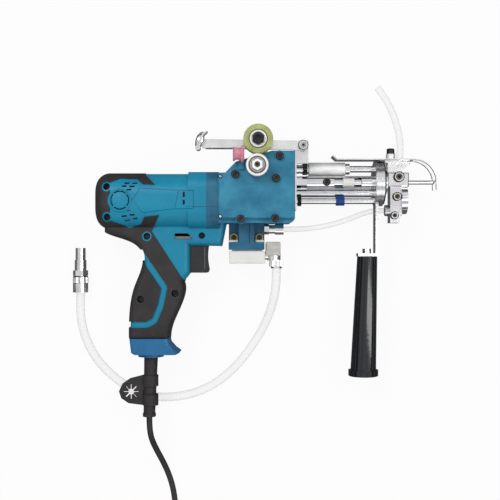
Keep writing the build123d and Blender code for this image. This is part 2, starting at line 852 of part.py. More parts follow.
# Crank: its bearing end, the gear that drives the feed, the crown gear and the throw disc
with BuildPart() as crankshaft:
    add(
        stacked(
            place(crank_x, spindle_y, crank_bearing_floor + moving_gap),
            (crank_radius, disc_floor - crank_bearing_floor - moving_gap),
            (disc_radius, disc_length),
        )
    )
    add(toothed(place(crank_x, spindle_y, gear_floor), crank_gear_radius, tooth_depth, 14, crank_gear_length))
    add(
        toothed(
            place(crank_x, spindle_y, half_depth - bevel_radius - moving_gap - crown_length),
            crown_radius, tooth_depth, 26, crown_length,
        )
    )
    with BuildSketch(Plane.XY.offset(disc_floor - overrun)):
        with Locations((pin_x, pin_y)):
            Circle(pin_radius + moving_gap)
    extrude(amount=disc_length + 2 * overrun, mode=Mode.SUBTRACT)
crankshaft.part.label = "crankshaft"
export_step(crankshaft.part, "parts/crankshaft.step")

with BuildPart() as idler_gear:
    add(
        toothed(
            place(idler_x, idler_y, gear_floor), idler_radius, tooth_depth, 30, crank_gear_length,
            bore=idler_pin_radius + shaft_play,
        )
    )
    add(
        toothed(
            place(idler_x, idler_y, gear_floor + crank_gear_length), idler_pinion_radius, tooth_depth, 11,
            idler_pinion_length, bore=idler_pin_radius + shaft_play,
        )
    )
idler_gear.part.label = "idler_gear"
export_step(idler_gear.part, "parts/idler_gear.step")

# Feed: its shaft, the ribbed roller on it and the nut
roller_floor = feed_bush_floor + feed_bush_length + 0.5 * overrun
roller_radius = 12.45
roller_length = 14.5
roller_ribs = 5
roller_groove = 0.8
feed_nut_radius = 6.5
feed_nut_length = 4.7
nut_engaged = 2.0
feed_floor = gear_floor + crank_gear_length + 0.5 * overrun
with BuildPart() as feed_shaft:
    add(
        stacked(
            place(feed_x, feed_y, feed_floor),
            (feed_shaft_radius, roller_floor + roller_length + nut_engaged - feed_floor),
        )
    )
    add(toothed(place(feed_x, feed_y, feed_floor), feed_gear_radius, tooth_depth, 18, feed_gear_length))
feed_shaft.part.label = "feed_shaft"
export_step(feed_shaft.part, "parts/feed_shaft.step")

with BuildPart() as feed_roller:
    add(toothed(place(feed_x, feed_y, roller_floor), roller_radius, roller_groove, 36, roller_length))
    with BuildSketch(Plane.XY.offset(roller_floor + roller_length)):
        with Locations((feed_x, feed_y)):
            RegularPolygon(feed_nut_radius, 6)
    extrude(amount=feed_nut_length)
    with BuildSketch(Plane.XY.offset(roller_floor - overrun)):
        with Locations((feed_x, feed_y)):
            Circle(feed_shaft_radius + shaft_play)
    extrude(amount=roller_length + nut_engaged + overrun + seat_gap, mode=Mode.SUBTRACT)
feed_roller.part.label = "feed_roller"
export_step(feed_roller.part, "parts/feed_roller.step")

# Pressure roller on the lever, which a finger lifts off the feed roller
lever_floor = 56.0
lever_thickness = 4.0
lever_half_height = 5.3
pivot_x = 38.8
pivot_y = 120.3
lever_tip_x = -70.8
lever_tip_y = 122.2
press_x = -11.7
press_y = 124.7
press_radius = 16.3
press_hub_radius = 10.0
press_floor = 72.0
press_length = 14.0
press_pin_radius = 4.0
press_spacer_radius = 6.0
press_lug_radius = 7.0
press_head_radius = 6.5
press_head_length = 5.5
groove_share = 0.25
tab_shares = [(0.0, 0.0), (0.21, 0.02), (0.62, 0.72), (0.97, 0.93), (1.0, 1.0), (0.9, 1.0), (0.5, 0.8)]
tab_x = -80.2
tab_y = 117.0
tab_length = 12.0
tab_height = 18.6
tab_width = 12.0
tab_bead_radius = 2.9
with BuildPart() as pressure_tyre:
    add(
        stacked(
            place(press_x, press_y, press_floor), (press_radius, press_length),
            bore=press_hub_radius + shaft_play,
        )
    )
    fillet(pressure_tyre.edges().group_by(SortBy.LENGTH)[-1], overrun)
pressure_tyre.part.label = "pressure_tyre"
export_step(pressure_tyre.part, "parts/pressure_tyre.step")

with BuildPart() as pressure_hub:
    add(
        stacked(
            place(press_x, press_y, press_floor), (press_hub_radius, press_length),
            bore=press_pin_radius + shaft_play,
        )
    )
pressure_hub.part.label = "pressure_hub"
export_step(pressure_hub.part, "parts/pressure_hub.step")

with BuildPart() as pressure_bolt:
    add(
        stacked(
            place(press_x, press_y, lever_floor + lever_thickness),
            (press_spacer_radius, press_floor - moving_gap - lever_floor - lever_thickness),
        )
    )
    add(
        socket_screw(
            place(press_x, press_y, press_floor + press_length + moving_gap), press_head_radius,
            press_head_length, press_pin_radius, press_floor + press_length + moving_gap - lever_floor,
        )
    )
pressure_bolt.part.label = "pressure_bolt"
export_step(pressure_bolt.part, "parts/pressure_bolt.step")

pivot_bolt_radius = 3.0
with BuildPart() as lever_arm:
    with BuildSketch(Plane.XY.offset(lever_floor)):
        with BuildLine():
            Line((pivot_x, pivot_y), (lever_tip_x, lever_tip_y))
        trace(line_width=2 * lever_half_height)
        with Locations((pivot_x, pivot_y), (lever_tip_x, lever_tip_y)):
            Circle(lever_half_height)
        with Locations((press_x, press_y)):
            Circle(press_lug_radius)
    extrude(amount=lever_thickness)
    with BuildSketch(Plane.XY.offset(lever_floor)):
        with BuildLine():
            Polyline(*on_shares(tab_shares, tab_x, tab_y, tab_length, tab_height), close=True)
        make_face()
        with Locations((tab_x + tab_bead_radius / 2, tab_y)):
            Circle(tab_bead_radius)
    extrude(amount=tab_width)
    with BuildSketch(Plane.XY.offset(lever_floor - overrun)):
        with Locations((pivot_x, pivot_y)):
            Circle(pivot_bolt_radius + shaft_play)
        with Locations((press_x, press_y)):
            Circle(press_pin_radius + shaft_play)
    extrude(amount=lever_thickness + 2 * overrun, mode=Mode.SUBTRACT)
lever_arm.part.label = "lever_arm"
export_step(lever_arm.part, "parts/lever_arm.step")

bracket_x = box_front_x + seat_gap
bracket_y = 100.4
bracket_length = 15.6
bracket_height = 25.6
bracket_floor = 50.0
bracket_foot_floor = 36.0
bracket_foot_height = 12.0
bracket_foot_length = 3.0
pivot_head_radius = 6.0
pivot_head_length = 4.2
with BuildPart() as lever_bracket:
    with BuildSketch(Plane.XY.offset(bracket_floor)):
        with Locations((bracket_x, bracket_y)):
            Rectangle(bracket_length, bracket_height, align=Align.MIN)
        with Locations((pivot_x, pivot_y)):
            Circle(pivot_bolt_radius + shaft_play, mode=Mode.SUBTRACT)
    extrude(amount=lever_floor - moving_gap - bracket_floor)
    with BuildSketch(Plane.XY.offset(bracket_foot_floor)):
        with Locations((bracket_x, bracket_y)):
            Rectangle(bracket_foot_length, bracket_foot_height, align=Align.MIN)
    extrude(amount=lever_floor - moving_gap - bracket_foot_floor)
lever_bracket.part.label = "lever_bracket"
export_step(lever_bracket.part, "parts/lever_bracket.step")

with BuildPart() as pivot_bolt:
    pivot_head_floor = lever_floor + lever_thickness + moving_gap
    with BuildSketch(Plane.XY.offset(pivot_head_floor)):
        with Locations((pivot_x, pivot_y)):
            RegularPolygon(pivot_head_radius, 6)
    extrude(amount=pivot_head_length)
    add(
        stacked(
            place(pivot_x, pivot_y, bracket_floor),
            (pivot_bolt_radius, pivot_head_floor - bracket_floor + overrun),
        )
    )
pivot_bolt.part.label = "pivot_bolt"
export_step(pivot_bolt.part, "parts/pivot_bolt.step")

# Yarn guide: a ceramic tube in a bent metal holder on the cover
guide_x = -39.3
guide_y = 108.4
guide_z = 79.0
guide_length = 12.3
guide_radius = 7.5
guide_neck_radius = 6.4
guide_rim = 2.2
guide_bore = 3.0
holder_x = -30.5
holder_length = 2.7
holder_radius = 9.4
plate_x = -33.0
plate_y = 92.5
plate_length = 5.2
plate_height = 19.5
plate_thickness = 1.4
with BuildPart() as yarn_guide:
    add(
        stacked(
            facing_x(guide_x, guide_y, guide_z),
            (guide_radius, guide_rim), (guide_neck_radius, guide_length - guide_rim), bore=guide_bore,
        )
    )
    chamfer(yarn_guide.edges().group_by(Axis.X)[0].sort_by(Edge.length)[-1], guide_rim / 4)
yarn_guide.part.label = "yarn_guide"
export_step(yarn_guide.part, "parts/yarn_guide.step")

with BuildPart() as guide_holder:
    add(
        stacked(
            facing_x(holder_x, guide_y, guide_z), (holder_radius, holder_length),
            bore=guide_neck_radius + shaft_play,
        )
    )
    with BuildSketch(Plane.XY.offset(cover_face)):
        with Locations((plate_x, plate_y)):
            Rectangle(plate_length, plate_height, align=Align.MIN)
    extrude(amount=plate_thickness)
    with BuildSketch(Plane.XY.offset(cover_face - holder_radius)):
        with Locations((holder_x, guide_y)):
            Rectangle(2 * plate_height, 2 * plate_height)
    extrude(amount=holder_radius, mode=Mode.SUBTRACT)
guide_holder.part.label = "guide_holder"
export_step(guide_holder.part, "parts/guide_holder.step")

# Needle carriage: crosshead and bar, the cream connector and the hollow needle
crosshead_rear = 5.0
crosshead_front = 6.0
crosshead_floor = 27.0
crosshead_top = disc_floor + disc_length
rod_end_x = 86.0
connector_radius = 5.8
connector_length = 13.0
hub_radius = 4.8
hub_length = 8.0
needle_radius = 2.35
needle_bore = 1.5
needle_length = 86.0
needle_slant = 4.0
conrod_floor = crosshead_top + moving_gap
conrod_thickness = 6.0
big_end_radius = 5.5
small_end_radius = 6.5
with BuildPart() as needle_bar:
    with BuildSketch(Plane.XY.offset(crosshead_floor)):
        with Locations((wrist_x - crosshead_rear, needle_y - crosshead_front)):
            Rectangle(crosshead_rear + crosshead_front, 2 * crosshead_front, align=Align.MIN)
    extrude(amount=crosshead_top - crosshead_floor)
    add(stacked(facing_x(wrist_x, needle_y), (rod_radius, rod_end_x - wrist_x)))
    add(
        stacked(
            place(wrist_x, needle_y, crosshead_top - overrun),
            (pin_radius, conrod_thickness + 2 * moving_gap + overrun),
        )
    )
needle_bar.part.label = "needle_bar"
export_step(needle_bar.part, "parts/needle_bar.step")

with BuildPart() as conrod:
    with BuildSketch(Plane.XY.offset(conrod_floor)):
        with BuildLine():
            Line((pin_x, pin_y), (wrist_x, needle_y))
        trace(line_width=2 * big_end_radius * 0.7)
        with Locations((pin_x, pin_y)):
            Circle(big_end_radius)
        with Locations((wrist_x, needle_y)):
            Circle(small_end_radius)
            Circle(pin_radius + shaft_play, mode=Mode.SUBTRACT)
    extrude(amount=conrod_thickness)
    with BuildSketch(Plane.XY.offset(conrod_floor + conrod_thickness)):
        with Locations((pin_x, pin_y)):
            Circle(pin_radius)
    extrude(amount=overrun)
conrod.part.label = "conrod"
export_step(conrod.part, "parts/conrod.step")

with BuildPart() as needle_connector:
    add(stacked(facing_x(rod_end_x, needle_y), (connector_radius, connector_length)))
    chamfer(needle_connector.edges().filter_by(GeomType.CIRCLE), overrun / 2)
needle_connector.part.label = "needle_connector"
export_step(needle_connector.part, "parts/needle_connector.step")

with BuildPart() as needle:
    needle_start = rod_end_x + connector_length
    tip_x = needle_start + hub_length + needle_length
    add(
        stacked(
            facing_x(needle_start, needle_y), (hub_radius, hub_length), (needle_radius, needle_length),
            bore=needle_bore,
        )
    )
    with BuildSketch(Plane.XY):
        with BuildLine():
            Polyline(
                (tip_x - needle_slant, needle_y - needle_radius - overrun),
                (tip_x + overrun, needle_y - needle_radius - overrun),
                (tip_x + overrun, needle_y + needle_radius + overrun),
                close=True,
            )
        make_face()
    extrude(amount=2 * half_depth, mode=Mode.SUBTRACT)
needle.part.label = "needle"
export_step(needle.part, "parts/needle.step")

# Front plate, the tube round the needle bar and the guide rods
front_plate_thickness = 2.2
front_plate_y = 47.7
front_plate_height = 52.4
front_plate_floor = 12.0
front_plate_depth = 48.0
plate_front_x = box_front_x + front_plate_thickness
tube_radius = 7.6
tube_bore = 6.3
tube_x = 44.4
tube_length = 80.0
tube_nut_radius = 7.1
window_x = 75.4
window_length = 31.5
window_height = 10.3
tube_screw_x = 66.8
tube_screw_flat = 0.3
tube_screw_radius = 2.0
carrier_x = 121.3
with BuildPart() as front_plate:
    with BuildSketch(Plane.XY.offset(front_plate_floor)):
        with Locations((box_front_x, front_plate_y)):
            Rectangle(front_plate_thickness, front_plate_height, align=Align.MIN)
    extrude(amount=front_plate_depth)
    with BuildSketch(facing_x(box_front_x - overrun, needle_y)):
        Circle(rod_radius + shaft_play)
    extrude(amount=front_plate_thickness + 2 * overrun, mode=Mode.SUBTRACT)
front_plate.part.label = "front_plate"
export_step(front_plate.part, "parts/front_plate.step")

with BuildPart() as main_tube:
    with BuildSketch(facing_x(plate_front_x, needle_y)):
        RegularPolygon(tube_nut_radius, 6)
        Circle(rod_radius + moving_gap, mode=Mode.SUBTRACT)
    extrude(amount=tube_x - plate_front_x)
    add(stacked(facing_x(tube_x, needle_y), (tube_radius, tube_length), bore=tube_bore))
    with BuildSketch(near):
        with Locations((window_x, needle_y - window_height / 2)):
            Rectangle(window_length, window_height, align=Align.MIN)
    extrude(amount=2 * tube_radius, mode=Mode.SUBTRACT)
    with BuildSketch(near.offset(tube_radius - tube_screw_flat)):
        with Locations((tube_screw_x, needle_y)):
            Circle(cover_head_radius + seat_gap)
    extrude(amount=tube_radius, mode=Mode.SUBTRACT)
    with BuildSketch(near):
        with Locations((tube_screw_x, needle_y)):
            Circle(tube_screw_radius + shaft_play)
    extrude(amount=2 * tube_radius, mode=Mode.SUBTRACT)
main_tube.part.label = "main_tube"
export_step(main_tube.part, "parts/main_tube.step")

top_rod_y = 96.2
top_rod_z = 30.0
top_rod_radius = 3.75
sleeve_x = 46.5
sleeve_reach = 42.7
sleeve_radius = 7.6
sleeve_ring_length = 4.7
sleeve_ring_radius = 6.2
ring_steps = ((5.2, 3.0), (4.3, 1.0), (5.2, 3.0), (4.3, 1.0), (5.8, 5.2))
rings_x = 33.0
collar_rod_y = 59.4
middle_rod_y = 68.5
middle_rod_z = 28.0
middle_rod_radius = 4.6
lower_rod_radius = 3.6
blue_collar_x = 78.2
blue_collar_length = 9.2
blue_collar_radius = 5.2
black_bush_x = 34.0
black_bush_length = 4.0
black_bush_radius = 5.7
rod_length = carrier_x - plate_front_x - 2 * seat_gap
rod_start_x = plate_front_x + seat_gap
with BuildPart() as guide_rods:
    add(stacked(facing_x(rod_start_x, top_rod_y, top_rod_z), (top_rod_radius, rod_length)))
    add(stacked(facing_x(rod_start_x, middle_rod_y, middle_rod_z), (middle_rod_radius, rod_length)))
    add(stacked(facing_x(rod_start_x, collar_rod_y), (lower_rod_radius, rod_length)))
guide_rods.part.label = "guide_rods"
export_step(guide_rods.part, "parts/guide_rods.step")

with BuildPart() as rod_sleeve:
    add(
        stacked(
            facing_x(sleeve_x, top_rod_y, top_rod_z), (sleeve_radius, sleeve_reach),
            bore=top_rod_radius + shaft_play,
        )
    )
    fillet(rod_sleeve.edges().group_by(SortBy.LENGTH)[-1], overrun)
rod_sleeve.part.label = "rod_sleeve"
export_step(rod_sleeve.part, "parts/rod_sleeve.step")

with BuildPart() as rod_rings:
    add(stacked(facing_x(rings_x, top_rod_y, top_rod_z), *ring_steps, bore=top_rod_radius + shaft_play))
    add(
        stacked(
            facing_x(sleeve_x + sleeve_reach + seat_gap, top_rod_y, top_rod_z),
            (sleeve_ring_radius, sleeve_ring_length), bore=top_rod_radius + shaft_play,
        )
    )
    add(
        stacked(
            facing_x(blue_collar_x, collar_rod_y), (blue_collar_radius, blue_collar_length),
            bore=lower_rod_radius + shaft_play,
        )
    )
    add(
        stacked(
            facing_x(black_bush_x, collar_rod_y), (black_bush_radius, black_bush_length),
            bore=lower_rod_radius + shaft_play,
        )
    )
rod_rings.part.label = "rod_rings"
export_step(rod_rings.part, "parts/rod_rings.step")

# Carrier at the end of the rods, with the ring of the second handle round it
carrier_y = 79.3
carrier_radius = 23.7
carrier_length = 10.1
neck_radius = 13.0
head_x = 136.0
ring_x = 121.8
ring_length = 9.1
ring_wall = 2.25
ring_groove = 0.8
ring_groove_width = 3.0
with BuildPart() as front_carrier:
    add(stacked(facing_x(carrier_x, carrier_y), (carrier_radius, carrier_length)))
    add(stacked(facing_x(carrier_x, needle_y), (neck_radius, head_x - carrier_x)))
    add(
        stacked(
            facing_x(carrier_x - overrun, needle_y),
            (tube_radius + shaft_play, tube_x + tube_length + seat_gap - carrier_x + overrun),
            (tube_bore, head_x - tube_x - tube_length),
        ),
        mode=Mode.SUBTRACT,
    )
front_carrier.part.label = "front_carrier"
export_step(front_carrier.part, "parts/front_carrier.step")

stem_x = 122.3
stem_thickness = 3.5
stem_depth = 20.0
stem_foot_y = -0.8
tab_plate_x = 102.6
tab_plate_length = 23.4
tab_plate_thickness = 3.4
grip_nut_x = 113.5
grip_nut_radius = 5.0
grip_nut_length = 5.3
with BuildPart() as handle_bracket:
    add(stacked(facing_x(ring_x, carrier_y), (carrier_radius + shaft_play + ring_wall, ring_length)))
    with BuildSketch(facing_x(ring_x + (ring_length - ring_groove_width) / 2, carrier_y)):
        Circle(carrier_radius + ring_wall + overrun)
        Circle(carrier_radius + ring_wall - ring_groove, mode=Mode.SUBTRACT)
    extrude(amount=ring_groove_width, mode=Mode.SUBTRACT)
    with BuildSketch(Plane.XY.offset(half_depth - stem_depth / 2)):
        with Locations((stem_x, stem_foot_y - tab_plate_thickness)):
            Rectangle(
                stem_thickness, carrier_y - carrier_radius - stem_foot_y + tab_plate_thickness, align=Align.MIN
            )
        with Locations((tab_plate_x, stem_foot_y - tab_plate_thickness)):
            Rectangle(tab_plate_length, tab_plate_thickness, align=Align.MIN)
    extrude(amount=stem_depth)
    with BuildSketch(facing_x(ring_x - overrun, carrier_y)):
        Circle(carrier_radius + shaft_play)
    extrude(amount=ring_length + 2 * overrun, mode=Mode.SUBTRACT)
    with BuildSketch(facing_down(grip_nut_x, stem_foot_y + grip_nut_length)):
        RegularPolygon(grip_nut_radius, 6)
    extrude(amount=grip_nut_length)
handle_bracket.part.label = "handle_bracket"
export_step(handle_bracket.part, "parts/handle_bracket.step")

# Second handle: a soft grip that widens towards its foot
handle_top_x = 114.05
handle_foot_x = 109.5
handle_length = 130.3
handle_top_radius = 11.45
handle_foot_radius = 14.65
handle_flange_radius = 17.1
handle_flange_length = 7.1
handle_top_y = stem_foot_y - tab_plate_thickness
handle_foot_y = handle_top_y - handle_length
with BuildPart() as handle_grip:
    with BuildSketch(facing_down(handle_top_x, handle_top_y)):
        Circle(handle_top_radius)
    with BuildSketch(facing_down(handle_foot_x, handle_foot_y)):
        Circle(handle_foot_radius)
    loft()
    add(
        stacked(
            facing_down(handle_foot_x, handle_foot_y), (handle_flange_radius, handle_flange_length)
        )
    )
    fillet(handle_grip.edges().filter_by(GeomType.CIRCLE).group_by(Axis.Y)[0], overrun)
handle_grip.part.label = "handle_grip"
export_step(handle_grip.part, "parts/handle_grip.step")

# Head block that carries the needle's tip, the yarn port and the air port
block_x = 136.0
block_y = 75.0
upper_length = 24.0
upper_height = 16.0
upper_floor = 22.0
upper_depth = 24.0
lower_x = 139.0
lower_y = 42.0
lower_length = 13.4
lower_floor = 24.0
lower_depth = 20.0
lug_length = 11.0
lug_height = 8.0
yarn_port_x = 153.2
yarn_port_z = 17.0
yarn_port_radius = 6.0
yarn_port_y = 78.0
yarn_port_height = 13.0
air_port_x = 136.5
air_port_y = 49.0
air_port_z = 18.5
air_port_radius = 6.5
cap_disc_x = 152.7
cap_disc_y = 61.0
cap_disc_radius = 16.8
cap_disc_length = 5.8
head_screw_places = [(148.4, 86.1, 5.0, 3.2), (146.6, 63.9, 4.1, 3.0), (143.7, 42.4, 3.6, 2.8)]
head_screw_radius = 2.0
head_screw_length = 12.0
head_round = 1.0
with BuildPart() as head_block:
    with BuildSketch(Plane.XY.offset(upper_floor)):
        with Locations((block_x, block_y)):
            Rectangle(upper_length, upper_height, align=Align.MIN)
    extrude(amount=upper_depth)
    with BuildSketch(Plane.XY.offset(lower_floor)):
        with Locations((lower_x, lower_y)):
            Rectangle(lower_length, block_y - lower_y, align=Align.MIN)
        with Locations((lower_x, lower_y - lug_height)):
            Rectangle(lug_length, lug_height, align=Align.MIN)
    extrude(amount=lower_depth)
    chamfer(head_block.faces().sort_by(Axis.Z)[-1].edges(), head_round)
    add(
        stacked(
            facing_down(yarn_port_x, yarn_port_y + yarn_port_height, yarn_port_z),
            (yarn_port_radius, yarn_port_height),
        )
    )
    add(
        stacked(
            facing_x(air_port_x, air_port_y, air_port_z), (air_port_radius, lower_x - air_port_x + lug_length / 2)
        )
    )
    add(stacked(facing_x(cap_disc_x - overrun, cap_disc_y), (cap_disc_radius, cap_disc_length + overrun)))
    with BuildSketch(facing_x(block_x - overrun, needle_y)):
        Circle(needle_radius + 2 * shaft_play)
    extrude(amount=upper_length + 2 * overrun, mode=Mode.SUBTRACT)
    for x, y, radius, length in head_screw_places:
        top = lower_floor + lower_depth if y < block_y else upper_floor + upper_depth
        with BuildSketch(Plane.XY.offset(top)):
            with Locations((x, y)):
                Circle(head_screw_radius + shaft_play)
        extrude(amount=-head_screw_length - overrun, mode=Mode.SUBTRACT)
head_block.part.label = "head_block"
export_step(head_block.part, "parts/head_block.step")

# Foot that presses the backing cloth, and the bracket that carries it
foot_x = 73.4
foot_y = 105.7
foot_thickness = 1.3
foot_corner_x = 166.0
foot_depth = 24.0
foot_lip = 5.0
slot_x = 128.2
slot_length = 23.4
slot_height = 5.6
prong_radius = 25.7
prong_foot_y = 72.0
prong_gap = 15.0
foot_screw_x = 140.9
foot_bolt_radius = 2.5
foot_washer_radius = 5.0
foot_washer_length = 6.4
foot_head_radius = 4.5
foot_head_length = 5.8
foot_bolt_reach = 8.0
saddle_x = 133.0
saddle_y = 102.4
saddle_length = 17.0
saddle_thickness = 3.0
saddle_depth = 20.0
post_x = 136.4
post_length = 9.6
post_depth = 16.0
gusset_thickness = 2.0
gusset_shares = [(0.11, 0.0), (0.5, 0.0), (1.0, 0.8), (1.0, 0.93), (0.87, 1.0), (0.0, 1.0), (0.0, 0.5)]
gusset_length = 32.0
with BuildPart() as foot_bracket:
    with BuildSketch(Plane.XY.offset(half_depth - saddle_depth / 2)):
        with Locations((saddle_x, saddle_y)):
            Rectangle(saddle_length, saddle_thickness, align=Align.MIN)
    extrude(amount=saddle_depth)
    with BuildSketch(Plane.XY.offset(half_depth - post_depth / 2)):
        with Locations((post_x, block_y + upper_height)):
            Rectangle(post_length, saddle_y - block_y - upper_height, align=Align.MIN)
    extrude(amount=post_depth)
    add(
        prism(
            on_shares(
                gusset_shares, saddle_x, block_y + upper_height, gusset_length,
                saddle_y + saddle_thickness - block_y - upper_height,
            ),
            half_depth - saddle_depth / 2,
            gusset_thickness,
        )
    )
    with BuildSketch(facing_down(foot_screw_x, saddle_y + saddle_thickness)):
        Circle(foot_bolt_radius + shaft_play)
    extrude(amount=foot_bolt_reach, mode=Mode.SUBTRACT)
foot_bracket.part.label = "foot_bracket"
export_step(foot_bracket.part, "parts/foot_bracket.step")

with BuildPart() as foot:
    with BuildSketch(Plane.XY.offset(half_depth - foot_depth / 2)):
        with BuildLine():
            Polyline(
                (foot_x, foot_y + foot_lip), (foot_x + foot_lip, foot_y + foot_thickness / 2),
                (foot_corner_x, foot_y + foot_thickness / 2),
            )
            RadiusArc(
                (foot_corner_x, foot_y + foot_thickness / 2),
                (foot_corner_x + prong_radius, foot_y + foot_thickness / 2 - prong_radius),
                prong_radius,
            )
            Line(
                (foot_corner_x + prong_radius, foot_y + foot_thickness / 2 - prong_radius),
                (foot_corner_x + prong_radius, prong_foot_y),
            )
        trace(line_width=foot_thickness)
    extrude(amount=foot_depth)
    with BuildSketch(Plane.XY.offset(half_depth - prong_gap / 2)):
        with Locations((foot_corner_x, prong_foot_y - overrun)):
            Rectangle(
                2 * prong_radius, foot_y - prong_foot_y + foot_thickness + 2 * overrun, align=Align.MIN
            )
    extrude(amount=prong_gap, mode=Mode.SUBTRACT)
    with BuildSketch(facing_down(slot_x + slot_length / 2, foot_y + foot_thickness + overrun)):
        SlotOverall(slot_length, slot_height)
    extrude(amount=foot_thickness + 2 * overrun, mode=Mode.SUBTRACT)
foot.part.label = "foot"
export_step(foot.part, "parts/foot.step")

with BuildPart() as head_screws:
    for x, y, radius, length in head_screw_places:
        top = lower_floor + lower_depth if y < block_y else upper_floor + upper_depth
        add(socket_screw(place(x, y, top), radius, length, head_screw_radius, head_screw_length))
    washer_top_y = foot_y + foot_thickness + moving_gap + foot_washer_length
    add(
        socket_screw(
            facing_up(foot_screw_x, washer_top_y), foot_head_radius, foot_head_length, foot_bolt_radius,
            washer_top_y - saddle_y - saddle_thickness + foot_bolt_reach - overrun,
        )
    )
    add(stacked(facing_down(foot_screw_x, washer_top_y), (foot_washer_radius, foot_washer_length)))
head_screws.part.label = "head_screws"
export_step(head_screws.part, "parts/head_screws.step")

# Valve mount under the gearbox, the valve below it and the air fittings
mount_x = -45.0
mount_y = 3.1
mount_length = 40.8
mount_floor = 22.0
mount_depth = 24.0
mount_pocket_length = 11.6
mount_pocket_y = 12.0
mount_pocket_depth = 10.0
mount_screw_inset = 5.8
mount_screw_y = 17.3
mount_screw_radius = 3.6
mount_screw_head = 3.2
mount_shank_radius = 2.0
mount_screw_length = 8.0
valve_x = -44.3
valve_y = -12.4
valve_length = 40.8
valve_height = 14.3
valve_floor = 23.0
valve_depth = 22.0
valve_round = 1.4
valve_neck_inset = 3.0
elbow_x = 6.7
elbow_y = -9.0
elbow_radius = 7.7
elbow_height = 21.3
stub_radius = 4.5
stub_y = -3.6
hose_nut_x = 9.6
hose_nut_y = -18.0
hose_nut_radius = 6.5
fitting_y = 26.8
fitting_hex_radius = 6.0
fitting_hex_length = 5.2
fitting_neck_radius = 5.0
fitting_neck_length = 7.0
fitting_collar_radius = 6.2
fitting_collar_length = 9.8
with BuildPart() as valve_mount:
    with BuildSketch(Plane.XY.offset(mount_floor)):
        with Locations((mount_x, mount_y)):
            Rectangle(mount_length, box_y - mount_y, align=Align.MIN)
    extrude(amount=mount_depth)
    fillet(valve_mount.edges().filter_by(Axis.Z).group_by(Axis.Y)[0], valve_round)
    with BuildSketch(Plane.XY.offset(mount_floor + mount_depth - mount_pocket_depth)):
        with Locations(
            (mount_x - overrun, mount_pocket_y),
            (mount_x + mount_length - mount_pocket_length, mount_pocket_y),
        ):
            Rectangle(mount_pocket_length + overrun, box_y - mount_pocket_y + overrun, align=Align.MIN)
    extrude(amount=mount_depth, mode=Mode.SUBTRACT)
    with BuildSketch(Plane.XY.offset(mount_floor + mount_depth - mount_pocket_depth)):
        with Locations(
            (mount_x + mount_screw_inset, mount_screw_y),
            (mount_x + mount_length - mount_screw_inset, mount_screw_y),
        ):
            Circle(mount_shank_radius + shaft_play)
    extrude(amount=-mount_screw_length - overrun, mode=Mode.SUBTRACT)
valve_mount.part.label = "valve_mount"
export_step(valve_mount.part, "parts/valve_mount.step")

with BuildPart() as socket_screws:
    for (x, y), length in zip(
        on_box(cover_screw_shares), 4 * [cover_screw_length] + [centre_screw_length]
    ):
        add(
            socket_screw(
                place(x, y, cover_face), cover_head_radius, cover_head_length, cover_shank_radius, length
            )
        )
    for x in (mount_x + mount_screw_inset, mount_x + mount_length - mount_screw_inset):
        add(
            socket_screw(
                place(x, mount_screw_y, mount_floor + mount_depth - mount_pocket_depth),
                mount_screw_radius, mount_screw_head, mount_shank_radius, mount_screw_length,
            )
        )
    add(
        socket_screw(
            place(tube_screw_x, needle_y, half_depth + tube_radius - tube_screw_flat),
            cover_head_radius, cover_head_length, tube_screw_radius,
            tube_radius - tube_screw_flat - tube_bore,
        )
    )
socket_screws.part.label = "socket_screws"
export_step(socket_screws.part, "parts/socket_screws.step")

with BuildPart() as valve_body:
    with BuildSketch(Plane.XY.offset(valve_floor)):
        with Locations((valve_x, valve_y)):
            Rectangle(valve_length, valve_height, align=Align.MIN)
    extrude(amount=valve_depth)
    fillet(valve_body.edges(), valve_round)
    with BuildSketch(Plane.XY.offset(valve_floor + valve_neck_inset)):
        with Locations((valve_x + valve_neck_inset, valve_y + valve_height / 2)):
            Rectangle(
                valve_length - 2 * valve_neck_inset, mount_y - valve_y - valve_height / 2, align=Align.MIN
            )
    extrude(amount=valve_depth - 2 * valve_neck_inset)
valve_body.part.label = "valve_body"
export_step(valve_body.part, "parts/valve_body.step")

with BuildPart() as air_fittings:
    add(stacked(facing_down(elbow_x, elbow_y + elbow_height), (elbow_radius, elbow_height)))
    fillet(air_fittings.edges().group_by(Axis.Y)[-1], elbow_radius / 5)
    add(
        stacked(
            facing_x(valve_x + valve_length, stub_y), (stub_radius, elbow_x - valve_x - valve_length)
        )
    )
    with BuildSketch(facing_down(hose_nut_x, elbow_y + overrun)):
        RegularPolygon(hose_nut_radius, 6)
    extrude(amount=elbow_y + overrun - hose_nut_y)
    with BuildSketch(facing_x(mount_x + mount_length, fitting_y)):
        RegularPolygon(fitting_hex_radius, 6)
    extrude(amount=fitting_hex_length)
    add(
        stacked(
            facing_x(mount_x + mount_length + fitting_hex_length, fitting_y),
            (fitting_neck_radius, fitting_neck_length), (fitting_collar_radius, fitting_collar_length),
        )
    )
air_fittings.part.label = "air_fittings"
export_step(air_fittings.part, "parts/air_fittings.step")


# Free lines. Each is straight runs joined by tangent arcs, as large as the runs allow.
def corner_radii(route):
    radii = []
    for before, point, after in zip(route, route[1:], route[2:]):
        into = Vector(*point) - Vector(*before)
        out = Vector(*after) - Vector(*point)
        turn = math.radians(into.get_angle(out))
        radii.append(0.45 * min(into.length, out.length) / math.tan(turn / 2))
    return radii


def line_along(name, route, radius):
    radii = corner_radii(route)
    with BuildPart() as form:
        with BuildLine() as path:
            FilletPolyline(*route, radius=radii)
        wire = path.wire()
        with BuildSketch(Plane(origin=wire @ 0, z_dir=wire % 0)):
            Circle(radius)
        sweep(path=wire)
    share = form.part.volume / (math.pi * radius**2 * wire.length)
    print(name, "length", round(wire.length, 1), "volume share", round(share, 4))
    print(name, "radii", [round(value, 1) for value in radii], "least", round(min(radii), 1))
    return form.part


